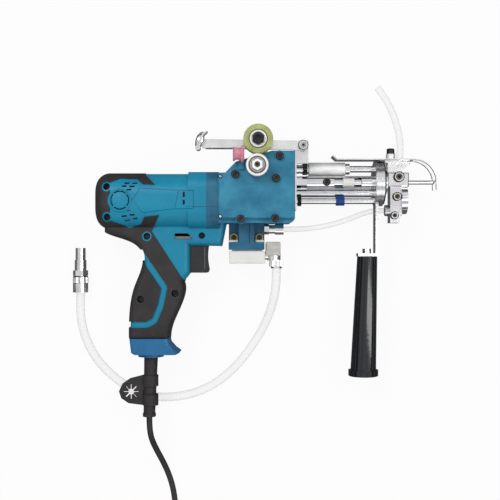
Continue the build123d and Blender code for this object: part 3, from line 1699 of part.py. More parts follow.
air_line_radius = 3.0
air_line_route = [
    (17.8, 26.8, 34.0), (29.0, 26.8, 34.0), (46.0, 27.6, 32.6), (63.0, 30.0, 29.9), (80.5, 34.2, 26.0),
    (97.5, 40.2, 21.8), (111.6, 45.8, 19.2), (124.0, 49.0, 18.5), (136.5, 49.0, 18.5),
]
air_hose_radius = 5.0
air_hose_route = [
    (9.6, -18.0, 34.0), (9.6, -32.0, 34.0), (7.8, -49.0, 30.2), (3.4, -67.0, 21.4), (-3.6, -85.0, 12.2),
    (-12.8, -102.0, 6.2), (-24.5, -119.0, 5.0), (-39.0, -136.4, 5.0), (-56.0, -151.0, 5.0),
    (-75.0, -162.0, 5.0), (-94.0, -168.3, 5.0), (-113.0, -170.9, 5.0), (-132.0, -170.8, 5.0),
    (-152.0, -165.5, 5.0), (-171.0, -155.5, 5.0), (-187.0, -142.5, 5.0), (-200.5, -128.0, 5.0),
    (-211.0, -111.0, 5.0), (-218.0, -92.0, 5.6), (-220.6, -73.0, 7.5), (-220.4, -57.0, 9.0),
    (-220.4, -46.8, 9.0),
]
yarn_tube_radius = 4.0
yarn_tube_route = [
    (153.2, 91.0, 17.0), (153.2, 103.0, 17.0), (154.6, 113.5, 16.2), (155.5, 124.0, 14.6),
    (154.9, 135.5, 12.4), (152.6, 148.5, 9.8), (148.6, 162.5, 7.4), (143.0, 175.8, 5.4),
    (136.8, 186.0, 4.4), (130.2, 195.2, 4.1),
]
cord_radius = 3.4
cord_route = [
    (-136.4, -188.1, 34.0), (-136.4, -200.6, 34.0), (-134.6, -215.0, 29.6), (-129.4, -230.0, 20.4),
    (-123.0, -245.5, 11.0), (-117.0, -261.0, 5.2), (-112.2, -277.0, 3.4), (-109.4, -294.0, 3.4),
    (-108.1, -313.0, 3.4), (-107.5, -334.0, 3.4), (-107.5, -355.0, 3.4),
]

with BuildPart() as air_line:
    add(line_along("air_line", air_line_route, air_line_radius))
air_line.part.label = "air_line"
export_step(air_line.part, "parts/air_line.step")

with BuildPart() as air_hose:
    add(line_along("air_hose", air_hose_route, air_hose_radius))
air_hose.part.label = "air_hose"
export_step(air_hose.part, "parts/air_hose.step")

with BuildPart() as yarn_tube:
    add(line_along("yarn_tube", yarn_tube_route, yarn_tube_radius))
yarn_tube.part.label = "yarn_tube"
export_step(yarn_tube.part, "parts/yarn_tube.step")

with BuildPart() as mains_cord:
    add(line_along("mains_cord", cord_route, cord_radius))
mains_cord.part.label = "mains_cord"
export_step(mains_cord.part, "parts/mains_cord.step")

# Quick coupler on the end of the air hose
coupler_x = -220.4
coupler_y = -46.8
coupler_z = 9.0
coupler_nut_radius = 8.8
coupler_nut_length = 18.3
coupler_groove_depth = 0.7
coupler_gap_length = 1.3
coupler_gap_radius = 6.4
coupler_hex_radius = 8.9
coupler_hex_length = 6.1
coupler_step_radius = 6.8
coupler_step_length = 12.3
coupler_tip_radius = 5.8
coupler_tip_length = 14.2
coupler_bore = 3.0
coupler_bore_length = 30.0
with BuildPart() as air_coupler:
    upward = facing_up(coupler_x, coupler_y, coupler_z)
    add(toothed(upward, coupler_nut_radius, coupler_groove_depth, 28, coupler_nut_length))
    add(stacked(upward.offset(coupler_nut_length), (coupler_gap_radius, coupler_gap_length)))
    with BuildSketch(upward.offset(coupler_nut_length + coupler_gap_length)):
        RegularPolygon(coupler_hex_radius, 6)
    extrude(amount=coupler_hex_length)
    add(
        stacked(
            upward.offset(coupler_nut_length + coupler_gap_length + coupler_hex_length),
            (coupler_step_radius, coupler_step_length), (coupler_tip_radius, coupler_tip_length),
        )
    )
    coupler_length = (
        coupler_nut_length + coupler_gap_length + coupler_hex_length
        + coupler_step_length + coupler_tip_length
    )
    with BuildSketch(upward.offset(coupler_length + overrun)):
        Circle(coupler_bore)
    extrude(amount=-coupler_bore_length - overrun, mode=Mode.SUBTRACT)
air_coupler.part.label = "air_coupler"
export_step(air_coupler.part, "parts/air_coupler.step")

# Strain relief below the foot cap, and the chuck key holder clipped round it
relief_top = 10.0
relief_end_x = -136.4
relief_end_y = -184.4
relief_end_radius = 6.7
relief_ring_radius = 7.5
relief_start_y = grip_foot_y - cap_height - cap_collar_height
with BuildPart() as strain_relief:
    with BuildSketch(facing_down(relief_x, relief_start_y)):
        Circle(relief_radius)
    with BuildSketch(facing_down(relief_end_x, relief_end_y)):
        Circle(relief_end_radius)
    loft()
    add(stacked(facing_down(relief_x, relief_start_y + relief_top), (relief_radius, relief_top)))
    add(
        stacked(
            facing_down(relief_end_x, relief_end_y), (relief_ring_radius, relief_end_y - cord_route[0][1])
        )
    )
strain_relief.part.label = "strain_relief"
export_step(strain_relief.part, "parts/strain_relief.step")

holder_shares = [
    (0.0, 0.0), (-0.549, -0.113), (-0.856, -0.288), (-1.0, -0.538),
    (-0.906, -0.77), (-0.596, -0.939), (0.025, -1.0), (0.13, -1.0), (0.13, 0.0),
]
key_holder_x = -143.5
key_holder_y = -140.6
key_holder_length = 27.7
key_holder_height = 34.4
key_holder_floor = 32.0
key_holder_depth = 4.0
key_ring_wall = 0.9
key_ring_share = 0.36
star_x = -157.3
star_y = -159.8
star_radius = 8.6
star_hole_radius = 3.4
star_slits = 8
star_slit_width = 1.3
with BuildPart() as key_holder:
    ring_radius = relief_radius + moving_gap
    add(
        prism(
            on_shares(holder_shares, key_holder_x, key_holder_y, key_holder_length, key_holder_height),
            key_holder_floor, key_holder_depth,
        )
    )
    relief_at = relief_x + (relief_end_x - relief_x) * key_ring_share
    for offset in (0, key_holder_height * (1 - key_ring_share)):
        add(
            stacked(
                facing_down(relief_at, key_holder_y - offset),
                (ring_radius + key_ring_wall, key_holder_height * key_ring_share),
            )
        )
    with BuildSketch(facing_down(relief_at, key_holder_y + overrun)):
        Circle(ring_radius)
    extrude(amount=key_holder_height + 2 * overrun, mode=Mode.SUBTRACT)
    with BuildSketch(Plane.XY.offset(key_holder_floor - overrun)):
        with Locations((star_x, star_y)):
            Circle(star_hole_radius)
        for slit in range(star_slits // 2):
            with Locations((star_x, star_y)):
                Rectangle(2 * star_radius, star_slit_width, rotation=slit * 360 / star_slits)
    extrude(amount=key_holder_depth + 2 * overrun, mode=Mode.SUBTRACT)
key_holder.part.label = "key_holder"
export_step(key_holder.part, "parts/key_holder.step")

# The rest of the mains lead, wound into a coil of two layers outside the photographed view
coil_pitch = 7.4
coil_radius = 56.0
coil_turns = 8
coil_tail = 40.0
coil_start = Vector(*cord_route[-1])
least_self_gap = 0.4
with BuildPart() as mains_coil:
    with BuildLine() as coil_path:
        at = coil_start - Vector(0, 2 * cord_radius, 0)
        Line(coil_start, at)
        side = 1
        turn_radius = coil_radius - coil_pitch / 4
        for turn in range(coil_turns):
            to = at + Vector(2 * side * turn_radius, 0, 0)
            TangentArc(at, to, tangent=(0, -side, 0))
            at, side, turn_radius = to, -side, turn_radius - coil_pitch / 2
        # The half turn that climbs a layer, as two arcs that meet halfway
        to = at + Vector(2 * side * turn_radius, 0, coil_pitch)
        half = (to - at).length / 2
        middle = (at + to) * 0.5 - Vector(0, side * half, 0)
        TangentArc(at, middle, tangent=(0, -side, 0))
        TangentArc(middle, to, tangent=(to - at).normalized())
        at, side, turn_radius = to, -side, turn_radius + coil_pitch / 2
        for turn in range(coil_turns - 1):
            to = at + Vector(2 * side * turn_radius, 0, 0)
            TangentArc(at, to, tangent=(0, -side, 0))
            at, side, turn_radius = to, -side, turn_radius + coil_pitch / 2
        Line(at, at - Vector(0, coil_tail, 0))
    coil_wire = coil_path.wire()
    with BuildSketch(Plane(origin=coil_start, z_dir=(0, -1, 0))):
        Circle(cord_radius)
    sweep(path=coil_wire)
mains_coil.part.label = "mains_coil"
export_step(mains_coil.part, "parts/mains_coil.step")

# The least gap of the coil to itself, measured on points along its middle line
coil_length = coil_wire.length
steps = round(coil_length / (2 * cord_radius) * 2)
points = [coil_wire @ (step / steps) for step in range(steps + 1)]
near_steps = 6
self_gap = min(
    (points[one] - points[other]).length - 2 * cord_radius
    for one in range(steps + 1)
    for other in range(one + near_steps, steps + 1)
)
print("mains_coil length", round(coil_length, 1), "least gap to itself", round(self_gap, 2))
print("mains_coil volume share", round(mains_coil.part.volume / (math.pi * cord_radius**2 * coil_length), 4))

# Plug of the mains lead, lying beside the coil
plug_neck_radius = 5.5
plug_neck_length = 12.0
plug_width = 26.0
plug_depth = 2 * (cord_radius + coil_pitch)
plug_length = 24.0
plug_round = 6.0
plug_pin_radius = 2.0
plug_pin_length = 19.0
plug_pin_spacing = 19.0
with BuildPart() as mains_plug:
    plug_start = coil_wire @ 1
    plug_plane = facing_down(plug_start.X, plug_start.Y, plug_start.Z)
    add(stacked(plug_plane, (plug_neck_radius, plug_neck_length + overrun)))
    with BuildSketch(plug_plane.offset(plug_neck_length)):
        RectangleRounded(plug_width, plug_depth, plug_round)
    extrude(amount=plug_length)
    with BuildSketch(plug_plane.offset(plug_neck_length + plug_length)):
        with GridLocations(plug_pin_spacing, 0, 2, 1):
            Circle(plug_pin_radius)
    extrude(amount=plug_pin_length)
mains_plug.part.label = "mains_plug"
export_step(mains_plug.part, "parts/mains_plug.step")

# Bearings and bushes that the housing, the gear case and the gearbox hold
spindle_bearing_starts = ((-76.0, 6.0), (-64.0, 8.0))
with BuildPart() as bearings:
    for x, length in ((rear_bearing_x, rear_bearing_length), (front_bearing_x, front_bearing_length)):
        add(
            stacked(
                facing_x(x, motor_y), (motor_bearing_radius, length), bore=motor_shaft_radius + shaft_play
            )
        )
    for x, length in spindle_bearing_starts:
        add(
            stacked(
                facing_x(x, spindle_y), (spindle_bearing_radius, length), bore=spindle_radius + shaft_play
            )
        )
    add(
        stacked(
            place(crank_x, spindle_y, crank_bearing_floor),
            (crank_bearing_radius, box_floor - crank_bearing_floor), bore=crank_radius + shaft_play,
        )
    )
    add(
        stacked(
            place(feed_x, feed_y, feed_bush_floor), (feed_bush_radius, feed_bush_length),
            bore=feed_shaft_radius + shaft_play,
        )
    )
bearings.part.label = "bearings"
export_step(bearings.part, "parts/bearings.step")
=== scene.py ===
# Handheld tufting machine: the looks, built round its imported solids
import json
import math

import bmesh
import bpy
from mathutils import Matrix, Vector

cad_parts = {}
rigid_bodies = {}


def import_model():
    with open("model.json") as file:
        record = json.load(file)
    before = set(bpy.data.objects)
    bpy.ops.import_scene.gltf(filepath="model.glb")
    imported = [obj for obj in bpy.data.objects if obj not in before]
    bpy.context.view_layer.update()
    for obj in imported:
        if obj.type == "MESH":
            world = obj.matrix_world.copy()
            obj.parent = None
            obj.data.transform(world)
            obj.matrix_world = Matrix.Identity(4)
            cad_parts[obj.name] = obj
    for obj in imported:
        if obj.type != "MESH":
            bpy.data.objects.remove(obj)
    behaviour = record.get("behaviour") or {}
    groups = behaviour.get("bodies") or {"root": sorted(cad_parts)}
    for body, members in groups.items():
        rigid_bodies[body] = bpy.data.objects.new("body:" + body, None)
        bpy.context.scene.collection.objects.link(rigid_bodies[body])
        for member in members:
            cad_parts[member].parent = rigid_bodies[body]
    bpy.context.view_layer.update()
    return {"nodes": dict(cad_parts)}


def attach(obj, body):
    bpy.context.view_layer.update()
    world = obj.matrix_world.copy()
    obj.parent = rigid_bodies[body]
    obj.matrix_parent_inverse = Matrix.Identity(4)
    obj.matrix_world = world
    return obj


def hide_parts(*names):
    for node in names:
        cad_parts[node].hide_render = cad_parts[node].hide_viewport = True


for leftover in list(bpy.data.objects):  # the start-up cube, lamp and camera
    bpy.data.objects.remove(leftover)
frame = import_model()
nodes = frame["nodes"]


# Camera, floor and light
studio = {
    "eye": (-0.0207, 0.003, 1.034),  # straight above the machine as it lies
    "halfView": 0.2875,  # tangent of half the view
    "farthest": 20,
    "floorSide": 6.0,
    "floorTone": 0.86,
    "floorGlow": 0.93,
    "floorMirrored": (0.09, 0.09, 0.1),
    "skyTop": 0.5,
    "skyLow": 0.3,
    "skyTopAt": 0.75,  # height of the direction, from 0 to 1, at which the sky is as light as it gets
    "mirrored": [  # the sky that glossy or clear pieces show: the height of the direction, the colour
        (0.0, (0.8, 0.8, 0.8)), (0.14, (0.35, 0.35, 0.36)), (0.26, (0.03, 0.03, 0.035)),
        (0.42, (0.07, 0.07, 0.075)), (0.58, (0.75, 0.76, 0.77)), (0.74, (1.0, 1.0, 1.0)),
        (0.88, (0.62, 0.63, 0.65)), (1.0, (0.95, 0.95, 0.95)),
    ],
    "lamps": {
        "keyLamp": {"at": (-0.55, 0.62, 1.15), "side": 0.5, "power": 6.0},
        "fillLamp": {"at": (0.75, 0.35, 0.95), "side": 0.7, "power": 2.2},
        "frontLamp": {"at": (0.1, -0.95, 0.8), "side": 0.6, "power": 1.4},
        "stripLamp": {"at": (0.82, -0.12, 1.0), "side": 0.15, "power": 3.6, "length": 1.3},
    },
}


def cameraMade():
    camera = bpy.data.objects.new("camera", bpy.data.cameras.new("camera"))
    camera.location = studio["eye"]
    camera.data.lens = camera.data.sensor_width / 2 / studio["halfView"]
    camera.data.clip_end = studio["farthest"]
    bpy.context.scene.collection.objects.link(camera)
    bpy.context.scene.camera = camera
    bpy.context.scene.view_settings.view_transform = "Standard"


def pointedLamp(name, facts):
    lamp = bpy.data.objects.new(name, bpy.data.lights.new(name, "AREA"))
    lamp.data.size = facts["side"]
    if "length" in facts:  # a lamp that is only mirrored, as a bright line on what is glossy
        lamp.data.shape = "RECTANGLE"
        lamp.data.size_y = facts["length"]
        lamp.visible_diffuse = False
    lamp.data.energy = facts["power"]
    lamp.location = facts["at"]
    lamp.rotation_euler = (-Vector(facts["at"])).to_track_quat("-Z", "Y").to_euler()
    bpy.context.scene.collection.objects.link(lamp)


# Shader values on which sums are written as Python
class Value:
    def __init__(self, sheet, socket):
        self.sheet = sheet
        self.socket = socket

    def sum(self, operation, first, second):
        return self.sheet.add("ShaderNodeMath", {"operation": operation}, {0: first, 1: second})

    def __add__(self, other):
        return self.sum("ADD", self, other)

    __radd__ = __add__

    def __mul__(self, other):
        return self.sum("MULTIPLY", self, other)

    __rmul__ = __mul__

    def __sub__(self, other):
        return self.sum("SUBTRACT", self, other)

    def __rsub__(self, other):
        return self.sum("SUBTRACT", other, self)

    def larger(self, other):
        return self.sum("MAXIMUM", self, other)


class Sheet:  # one node tree of a material or of the world
    def __init__(self, tree):
        self.tree = tree

    def add(self, kind, settings=None, values=None, output=0):
        node = self.tree.nodes.new(kind)
        for name, value in (settings or {}).items():
            if name == "stops":
                ramp = node.color_ramp
                while len(ramp.elements) < len(value):
                    ramp.elements.new(0.5)
                for element, (position, colour) in zip(ramp.elements, value):
                    element.position = position
                    element.color = (*colour, 1)
            else:
                setattr(node, name, value)
        for key, value in (values or {}).items():
            self.join(value, node.inputs[key])
        return Value(self, node.outputs[output]) if node.outputs else node

    def join(self, value, socket):
        if isinstance(value, Value):
            self.tree.links.new(value.socket, socket)
        elif isinstance(value, tuple) and len(value) == 3 and socket.type == "RGBA":
            socket.default_value = (*value, 1)
        else:
            socket.default_value = value

    def mix(self, factor, dark, light):
        return self.add(
            "ShaderNodeMix",
            {"data_type": "RGBA"},
            {"Factor": factor, 6: dark, 7: light},
            2,
        )

    def noise(self, at, scale, detail=2.0, roughness=0.5):
        return self.add(
            "ShaderNodeTexNoise",
            {},
            {"Vector": at, "Scale": scale, "Detail": detail, "Roughness": roughness},
        )

    def between(self, value, low, high, fromLow=0.0, fromHigh=1.0):
        return self.add(
            "ShaderNodeMapRange",
            {"clamp": True},
            {0: value, 1: fromLow, 2: fromHigh, 3: low, 4: high},
        )


def worldMade():
    world = bpy.data.worlds.new("studioWorld")
    bpy.context.scene.world = world
    world.use_nodes = True
    world.node_tree.nodes.clear()
    sheet = Sheet(world.node_tree)
    ray = sheet.add("ShaderNodeLightPath", output="Is Camera Ray")
    glossy = Value(sheet, ray.socket.node.outputs["Is Glossy Ray"])
    through = Value(sheet, ray.socket.node.outputs["Is Transmission Ray"])
    direction = sheet.add("ShaderNodeTexCoord", output="Generated")
    height = sheet.add("ShaderNodeSeparateXYZ", values={0: direction}, output=2)
    soft = sheet.between(height, studio["skyLow"], studio["skyTop"], 0.0, studio["skyTopAt"])
    backdrop = sheet.add("ShaderNodeValToRGB", {"stops": studio["mirrored"]}, {0: height})
    seen = glossy.larger(through)
    light = sheet.mix(seen, soft, backdrop)
    shown = sheet.mix(ray, light, (1.0, 1.0, 1.0))
    lit = sheet.add("ShaderNodeBackground", values={"Color": shown, "Strength": 1.0})
    sheet.add("ShaderNodeOutputWorld", values={"Surface": lit})


def floorMade():
    half = studio["floorSide"] / 2
    mesh = bpy.data.meshes.new("floor")
    mesh.from_pydata(
        [(-half, -half, 0), (half, -half, 0), (half, half, 0), (-half, half, 0)], [], [(0, 1, 2, 3)]
    )
    floor = bpy.data.objects.new("floor", mesh)
    bpy.context.scene.collection.objects.link(floor)
    material = bpy.data.materials.new("paleFloor")
    material.use_nodes = True
    material.node_tree.nodes.clear()
    sheet = Sheet(material.node_tree)
    ray = sheet.add("ShaderNodeLightPath", output="Is Camera Ray")
    glossy = Value(sheet, ray.socket.node.outputs["Is Glossy Ray"])
    through = Value(sheet, ray.socket.node.outputs["Is Transmission Ray"])
    tone = (studio["floorTone"],) * 3
    paper = sheet.add("ShaderNodeBsdfDiffuse", values={"Color": tone})
    shine = sheet.mix(glossy, (1.0, 1.0, 1.0), studio["floorMirrored"])
    glow = sheet.add("ShaderNodeEmission", values={"Color": shine, "Strength": 1.0})
    share = ray.larger(glossy).larger(through) * studio["floorGlow"]
    both = sheet.add("ShaderNodeMixShader", values={0: share, 1: paper, 2: glow})
    sheet.add("ShaderNodeOutputMaterial", values={"Surface": both})
    mesh.materials.append(material)


cameraMade()
worldMade()
floorMade()
for lampName, lampFacts in studio["lamps"].items():
    pointedLamp(lampName, lampFacts)
print("camera, floor and light are set")


# Finishes. Colours are linear; cloud and grain are in patterns per metre, stretch scales the grain
patterns = {
    "cloudDetail": 4.0, "cloudRoughness": 0.6, "grainDetail": 2.0, "darkShare": 0.3, "lightShare": 0.7,
    "middle": 0.5, "relief": 0.6, "plainGloss": 0.3, "edgeBlend": 0.4, "scatter": (0.004, 0.004, 0.002),
}
finishes = {
    "tealPlastic": {
        "dark": (0.004, 0.222, 0.375), "light": (0.008, 0.3, 0.475), "cloud": 14, "roughness": 0.4,
        "spread": 0.1, "grain": 2600, "depth": 0.00009, "speck": 0.12,
    },
    "softRubber": {
        "dark": (0.021, 0.019, 0.02), "light": (0.04, 0.036, 0.038), "cloud": 40, "roughness": 0.6,
        "spread": 0.14, "grain": 3400, "depth": 0.00012, "speck": 0.25,
    },
    "blackPlastic": {
        "dark": (0.014, 0.014, 0.016), "light": (0.03, 0.03, 0.034), "cloud": 30, "roughness": 0.42,
        "spread": 0.12, "grain": 2600, "depth": 0.00006, "speck": 0.15,
    },
    "bluePaint": {
        "dark": (0.012, 0.15, 0.28), "light": (0.05, 0.31, 0.47), "cloud": 30, "roughness": 0.36,
        "spread": 0.2, "grain": 900, "depth": 0.00016, "speck": 0.14,
    },
    # A darker copy of bluePaint: painted shade on the valve mount, and the gear case's darker tone
    "deepPaint": {
        "dark": (0.01, 0.1, 0.19), "light": (0.035, 0.2, 0.32), "cloud": 30, "roughness": 0.4,
        "spread": 0.2, "grain": 900, "depth": 0.00016, "speck": 0.14,
    },
    "bluePlastic": {
        "dark": (0.010, 0.125, 0.31), "light": (0.03, 0.19, 0.4), "cloud": 22, "roughness": 0.33,
        "spread": 0.12, "grain": 2200, "depth": 0.00006, "speck": 0.1,
    },
    "blackOxide": {
        "dark": (0.010, 0.010, 0.012), "light": (0.035, 0.035, 0.04), "cloud": 120, "roughness": 0.34,
        "spread": 0.2, "grain": 5000, "depth": 0.00004, "speck": 0.2, "metallic": 0.6,
    },
    "brightSteel": {
        "dark": (0.62, 0.62, 0.64), "light": (0.78, 0.78, 0.79), "cloud": 30, "roughness": 0.12,
        "spread": 0.08, "grain": 700, "depth": 0.00003, "speck": 0.05, "metallic": 1.0,
        "stretch": (3.0, 0.15, 0.15),
    },
    "plateSteel": {
        "dark": (0.55, 0.55, 0.56), "light": (0.74, 0.74, 0.74), "cloud": 36, "roughness": 0.24,
        "spread": 0.12, "grain": 900, "depth": 0.00004, "speck": 0.08, "metallic": 1.0,
        "stretch": (0.12, 2.4, 1.0),
    },
    "satinAluminium": {
        "dark": (0.6, 0.61, 0.62), "light": (0.8, 0.8, 0.8), "cloud": 46, "roughness": 0.36,
        "spread": 0.12, "grain": 2400, "depth": 0.00006, "speck": 0.1, "metallic": 0.9,
    },
    "coreSteel": {
        "dark": (0.16, 0.15, 0.14), "light": (0.3, 0.29, 0.28), "cloud": 60, "roughness": 0.4,
        "spread": 0.15, "grain": 1400, "depth": 0.00008, "speck": 0.2, "metallic": 0.9,
        "stretch": (6.0, 0.1, 0.1),
    },
    "nickel": {
        "dark": (0.55, 0.55, 0.55), "light": (0.78, 0.77, 0.76), "cloud": 60, "roughness": 0.16,
        "spread": 0.12, "grain": 1200, "depth": 0.00004, "speck": 0.1, "metallic": 1.0,
    },
    "brass": {
        "dark": (0.22, 0.16, 0.07), "light": (0.45, 0.34, 0.15), "cloud": 160, "roughness": 0.28,
        "spread": 0.16, "grain": 1500, "depth": 0.00004, "speck": 0.15, "metallic": 1.0,
    },
    "puRubber": {
        "dark": (0.34, 0.38, 0.13), "light": (0.56, 0.6, 0.25), "cloud": 70, "roughness": 0.3,
        "spread": 0.14, "grain": 1500, "depth": 0.00006, "speck": 0.1, "glow": 0.35,
    },
    "pinkCeramic": {
        "dark": (0.72, 0.2, 0.3), "light": (0.88, 0.42, 0.5), "cloud": 60, "roughness": 0.24,
        "spread": 0.1, "grain": 1500, "depth": 0.00005, "speck": 0.1,
    },
    "creamPlastic": {
        "dark": (0.85, 0.84, 0.8), "light": (0.94, 0.93, 0.9), "cloud": 50, "roughness": 0.4,
        "spread": 0.1, "grain": 2400, "depth": 0.00005, "speck": 0.06,
    },
    "blackGloss": {
        "dark": (0.004, 0.005, 0.007), "light": (0.01, 0.011, 0.014), "cloud": 16, "roughness": 0.1,
        "spread": 0.05, "grain": 300, "depth": 0.00002, "speck": 0.0, "gloss": 0.5,
    },
    "clearTube": {
        "dark": (0.76, 0.77, 0.76), "light": (0.86, 0.87, 0.86), "cloud": 60, "roughness": 0.25,
        "spread": 0.1, "grain": 300, "depth": 0.00001, "speck": 0.0, "clear": (0.1, 0.42),
    },
    "whiteSatin": {
        "dark": (0.74, 0.74, 0.74), "light": (0.88, 0.88, 0.87), "cloud": 40, "roughness": 0.5,
        "spread": 0.1, "grain": 2400, "depth": 0.00004, "speck": 0.06, "metallic": 0.5,
    },
    "nutSteel": {
        "dark": (0.3, 0.29, 0.27), "light": (0.5, 0.49, 0.46), "cloud": 160, "roughness": 0.28,
        "spread": 0.12, "grain": 1200, "depth": 0.00004, "speck": 0.15, "metallic": 1.0,
    },
    "seamShade": {
        "dark": (0.004, 0.05, 0.09), "light": (0.008, 0.09, 0.15), "cloud": 60, "roughness": 0.5,
        "spread": 0.1, "grain": 2400, "depth": 0.00004, "speck": 0.1,
    },
    "gapShade": {
        "dark": (0.006, 0.006, 0.007), "light": (0.018, 0.018, 0.02), "cloud": 90, "roughness": 0.5,
        "spread": 0.15, "grain": 2400, "depth": 0.00004, "speck": 0.2, "gloss": 0.1,
    },
    "leverGrey": {
        "dark": (0.12, 0.14, 0.145), "light": (0.2, 0.22, 0.225), "cloud": 90, "roughness": 0.45,
        "spread": 0.1, "grain": 2400, "depth": 0.00004, "speck": 0.1,
    },
    "rimMagenta": {
        "dark": (0.42, 0.16, 0.32), "light": (0.6, 0.3, 0.46), "cloud": 90, "roughness": 0.3,
        "spread": 0.1, "grain": 1500, "depth": 0.00004, "speck": 0.1,
    },
    "collarBlue": {
        "dark": (0.004, 0.03, 0.17), "light": (0.01, 0.07, 0.3), "cloud": 120, "roughness": 0.3,
        "spread": 0.1, "grain": 1500, "depth": 0.00004, "speck": 0.1,
    },
    "castBeige": {
        "dark": (0.52, 0.5, 0.46), "light": (0.68, 0.66, 0.61), "cloud": 120, "roughness": 0.55,
        "spread": 0.1, "grain": 1800, "depth": 0.00012, "speck": 0.2,
    },
    "recessBrown": {
        "dark": (0.05, 0.035, 0.022), "light": (0.14, 0.1, 0.07), "cloud": 300, "roughness": 0.35,
        "spread": 0.15, "grain": 3000, "depth": 0.00004, "speck": 0.3, "metallic": 0.7,
    },
}
made = {}


def finish(name):
    if name in made:
        return made[name]
    look = finishes[name]
    material = bpy.data.materials.new(name)
    material.use_nodes = True
    sheet = Sheet(material.node_tree)
    shader = material.node_tree.nodes["Principled BSDF"]
    at = sheet.add("ShaderNodeTexCoord", output="Object")
    cloud = sheet.noise(at, look["cloud"], patterns["cloudDetail"], patterns["cloudRoughness"])
    lines = at
    if "stretch" in look:
        lines = sheet.add("ShaderNodeMapping", {}, {"Vector": at, "Scale": look["stretch"]})
    grain = sheet.noise(lines, look["grain"], patterns["grainDetail"])
    middle = patterns["middle"]
    tone = sheet.between(cloud, 0.0, 1.0, patterns["darkShare"], patterns["lightShare"])
    tone = tone + (grain - middle) * look["speck"]
    sheet.join(sheet.mix(tone, look["dark"], look["light"]), shader.inputs["Base Color"])
    spread = look["spread"]
    rough = look["roughness"] + (cloud - middle) * spread + (grain - middle) * spread
    sheet.join(rough, shader.inputs["Roughness"])
    relief = sheet.add("ShaderNodeBump", {}, {
        "Strength": patterns["relief"], "Distance": look["depth"], "Height": grain,
    })
    sheet.join(relief, shader.inputs["Normal"])
    for socket, key in (("Metallic", "metallic"), ("Subsurface Weight", "glow")):
        if key in look:
            shader.inputs[socket].default_value = look[key]
    if "metallic" not in look:
        shader.inputs["Specular IOR Level"].default_value = look.get("gloss", patterns["plainGloss"])
    if "clear" in look:
        facing = sheet.add("ShaderNodeLayerWeight", {}, {"Blend": patterns["edgeBlend"]}, "Facing")
        sheet.join(sheet.between(facing, *look["clear"]), shader.inputs["Alpha"])
    if "glow" in look:
        shader.inputs["Subsurface Radius"].default_value = patterns["scatter"]
    made[name] = material
    return material


slotFinish = {
    "teal_shell": "tealPlastic", "soft_black": "softRubber", "black_plastic": "blackPlastic",
    "blue_plastic": "bluePlastic", "blue_paint": "bluePaint", "dark_steel": "blackOxide",
    "bright_steel": "brightSteel", "core_steel": "coreSteel", "plate_steel": "plateSteel",
    "needle_steel": "brightSteel", "satin_aluminium": "satinAluminium", "nickel": "nickel",
    "yellow_rubber": "puRubber", "pink_ceramic": "pinkCeramic", "cream_plastic": "creamPlastic",
    "black_gloss": "blackGloss", "clear_tube": "clearTube",
}
for nodeName, node in nodes.items():
    for place in node.material_slots:
        place.material = finish(slotFinish[place.material.name.split(".")[0]])
for nodeName, finishName in (
    ("direction_lever", "leverGrey"), ("guide_holder", "pinkCeramic"), ("rod_sleeve", "whiteSatin"),
    # on the valve mount the darker paint is painted shade
    ("lock_button", "gapShade"), ("flange_screws", "blackOxide"), ("valve_mount", "deepPaint"),
    ("gear_case", "deepPaint"),
):
    nodes[nodeName].material_slots[0].material = finish(finishName)
print("finishes are on the solids")


# Cords, hoses and the yarn tube
cords = {
    "mainsCord": {
        "radius": 0.0034, "length": 0.1776, "finish": "softRubber", "node": "mains_cord",
        "slot": "soft_black",
        "points": [
            (-0.1364, -0.1881, 0.034), (-0.1364, -0.2006, 0.034), (-0.1346, -0.215, 0.0296),
            (-0.1294, -0.23, 0.0204), (-0.123, -0.2455, 0.011), (-0.117, -0.261, 0.0052),
            (-0.1122, -0.277, 0.0034), (-0.1094, -0.294, 0.0034), (-0.1081, -0.313, 0.0034),
            (-0.1075, -0.334, 0.0034), (-0.1075, -0.355, 0.0034),
        ],
    },
    "airHose": {
        "radius": 0.005, "length": 0.4068, "finish": "clearTube", "node": "air_hose",
        "slot": "clear_tube",
        "points": [
            (0.0096, -0.018, 0.034), (0.0096, -0.032, 0.034), (0.0078, -0.049, 0.0302),
            (0.0034, -0.067, 0.0214), (-0.0036, -0.085, 0.0122), (-0.0128, -0.102, 0.0062),
            (-0.0245, -0.119, 0.005), (-0.039, -0.1364, 0.005), (-0.056, -0.151, 0.005),
            (-0.075, -0.162, 0.005), (-0.094, -0.1683, 0.005), (-0.113, -0.1709, 0.005),
            (-0.132, -0.1708, 0.005), (-0.152, -0.1655, 0.005), (-0.171, -0.1555, 0.005),
            (-0.187, -0.1425, 0.005), (-0.2005, -0.128, 0.005), (-0.211, -0.111, 0.005),
            (-0.218, -0.092, 0.0056), (-0.2206, -0.073, 0.0075), (-0.2204, -0.057, 0.009),
            (-0.2204, -0.0468, 0.009),
        ],
    },
    "airLine": {
        "radius": 0.003, "length": 0.1231, "finish": "clearTube", "node": "air_line",
        "slot": "clear_tube",
        "points": [
            (0.0178, 0.0268, 0.034), (0.029, 0.0268, 0.034), (0.046, 0.0276, 0.0326),
            (0.063, 0.03, 0.0299), (0.0805, 0.0342, 0.026), (0.0975, 0.0402, 0.0218),
            (0.1116, 0.0458, 0.0192), (0.124, 0.049, 0.0185), (0.1365, 0.049, 0.0185),
        ],
    },
    "yarnTube": {
        "radius": 0.004, "length": 0.111, "finish": "clearTube", "node": "yarn_tube",
        "slot": "clear_tube",
        "points": [
            (0.1532, 0.091, 0.017), (0.1532, 0.103, 0.017), (0.1546, 0.1135, 0.0162),
            (0.1555, 0.124, 0.0146), (0.1549, 0.1355, 0.0124), (0.1526, 0.1485, 0.0098),
            (0.1486, 0.1625, 0.0074), (0.143, 0.1758, 0.0054), (0.1368, 0.186, 0.0044),
            (0.1302, 0.1952, 0.0041),
        ],
    },
}
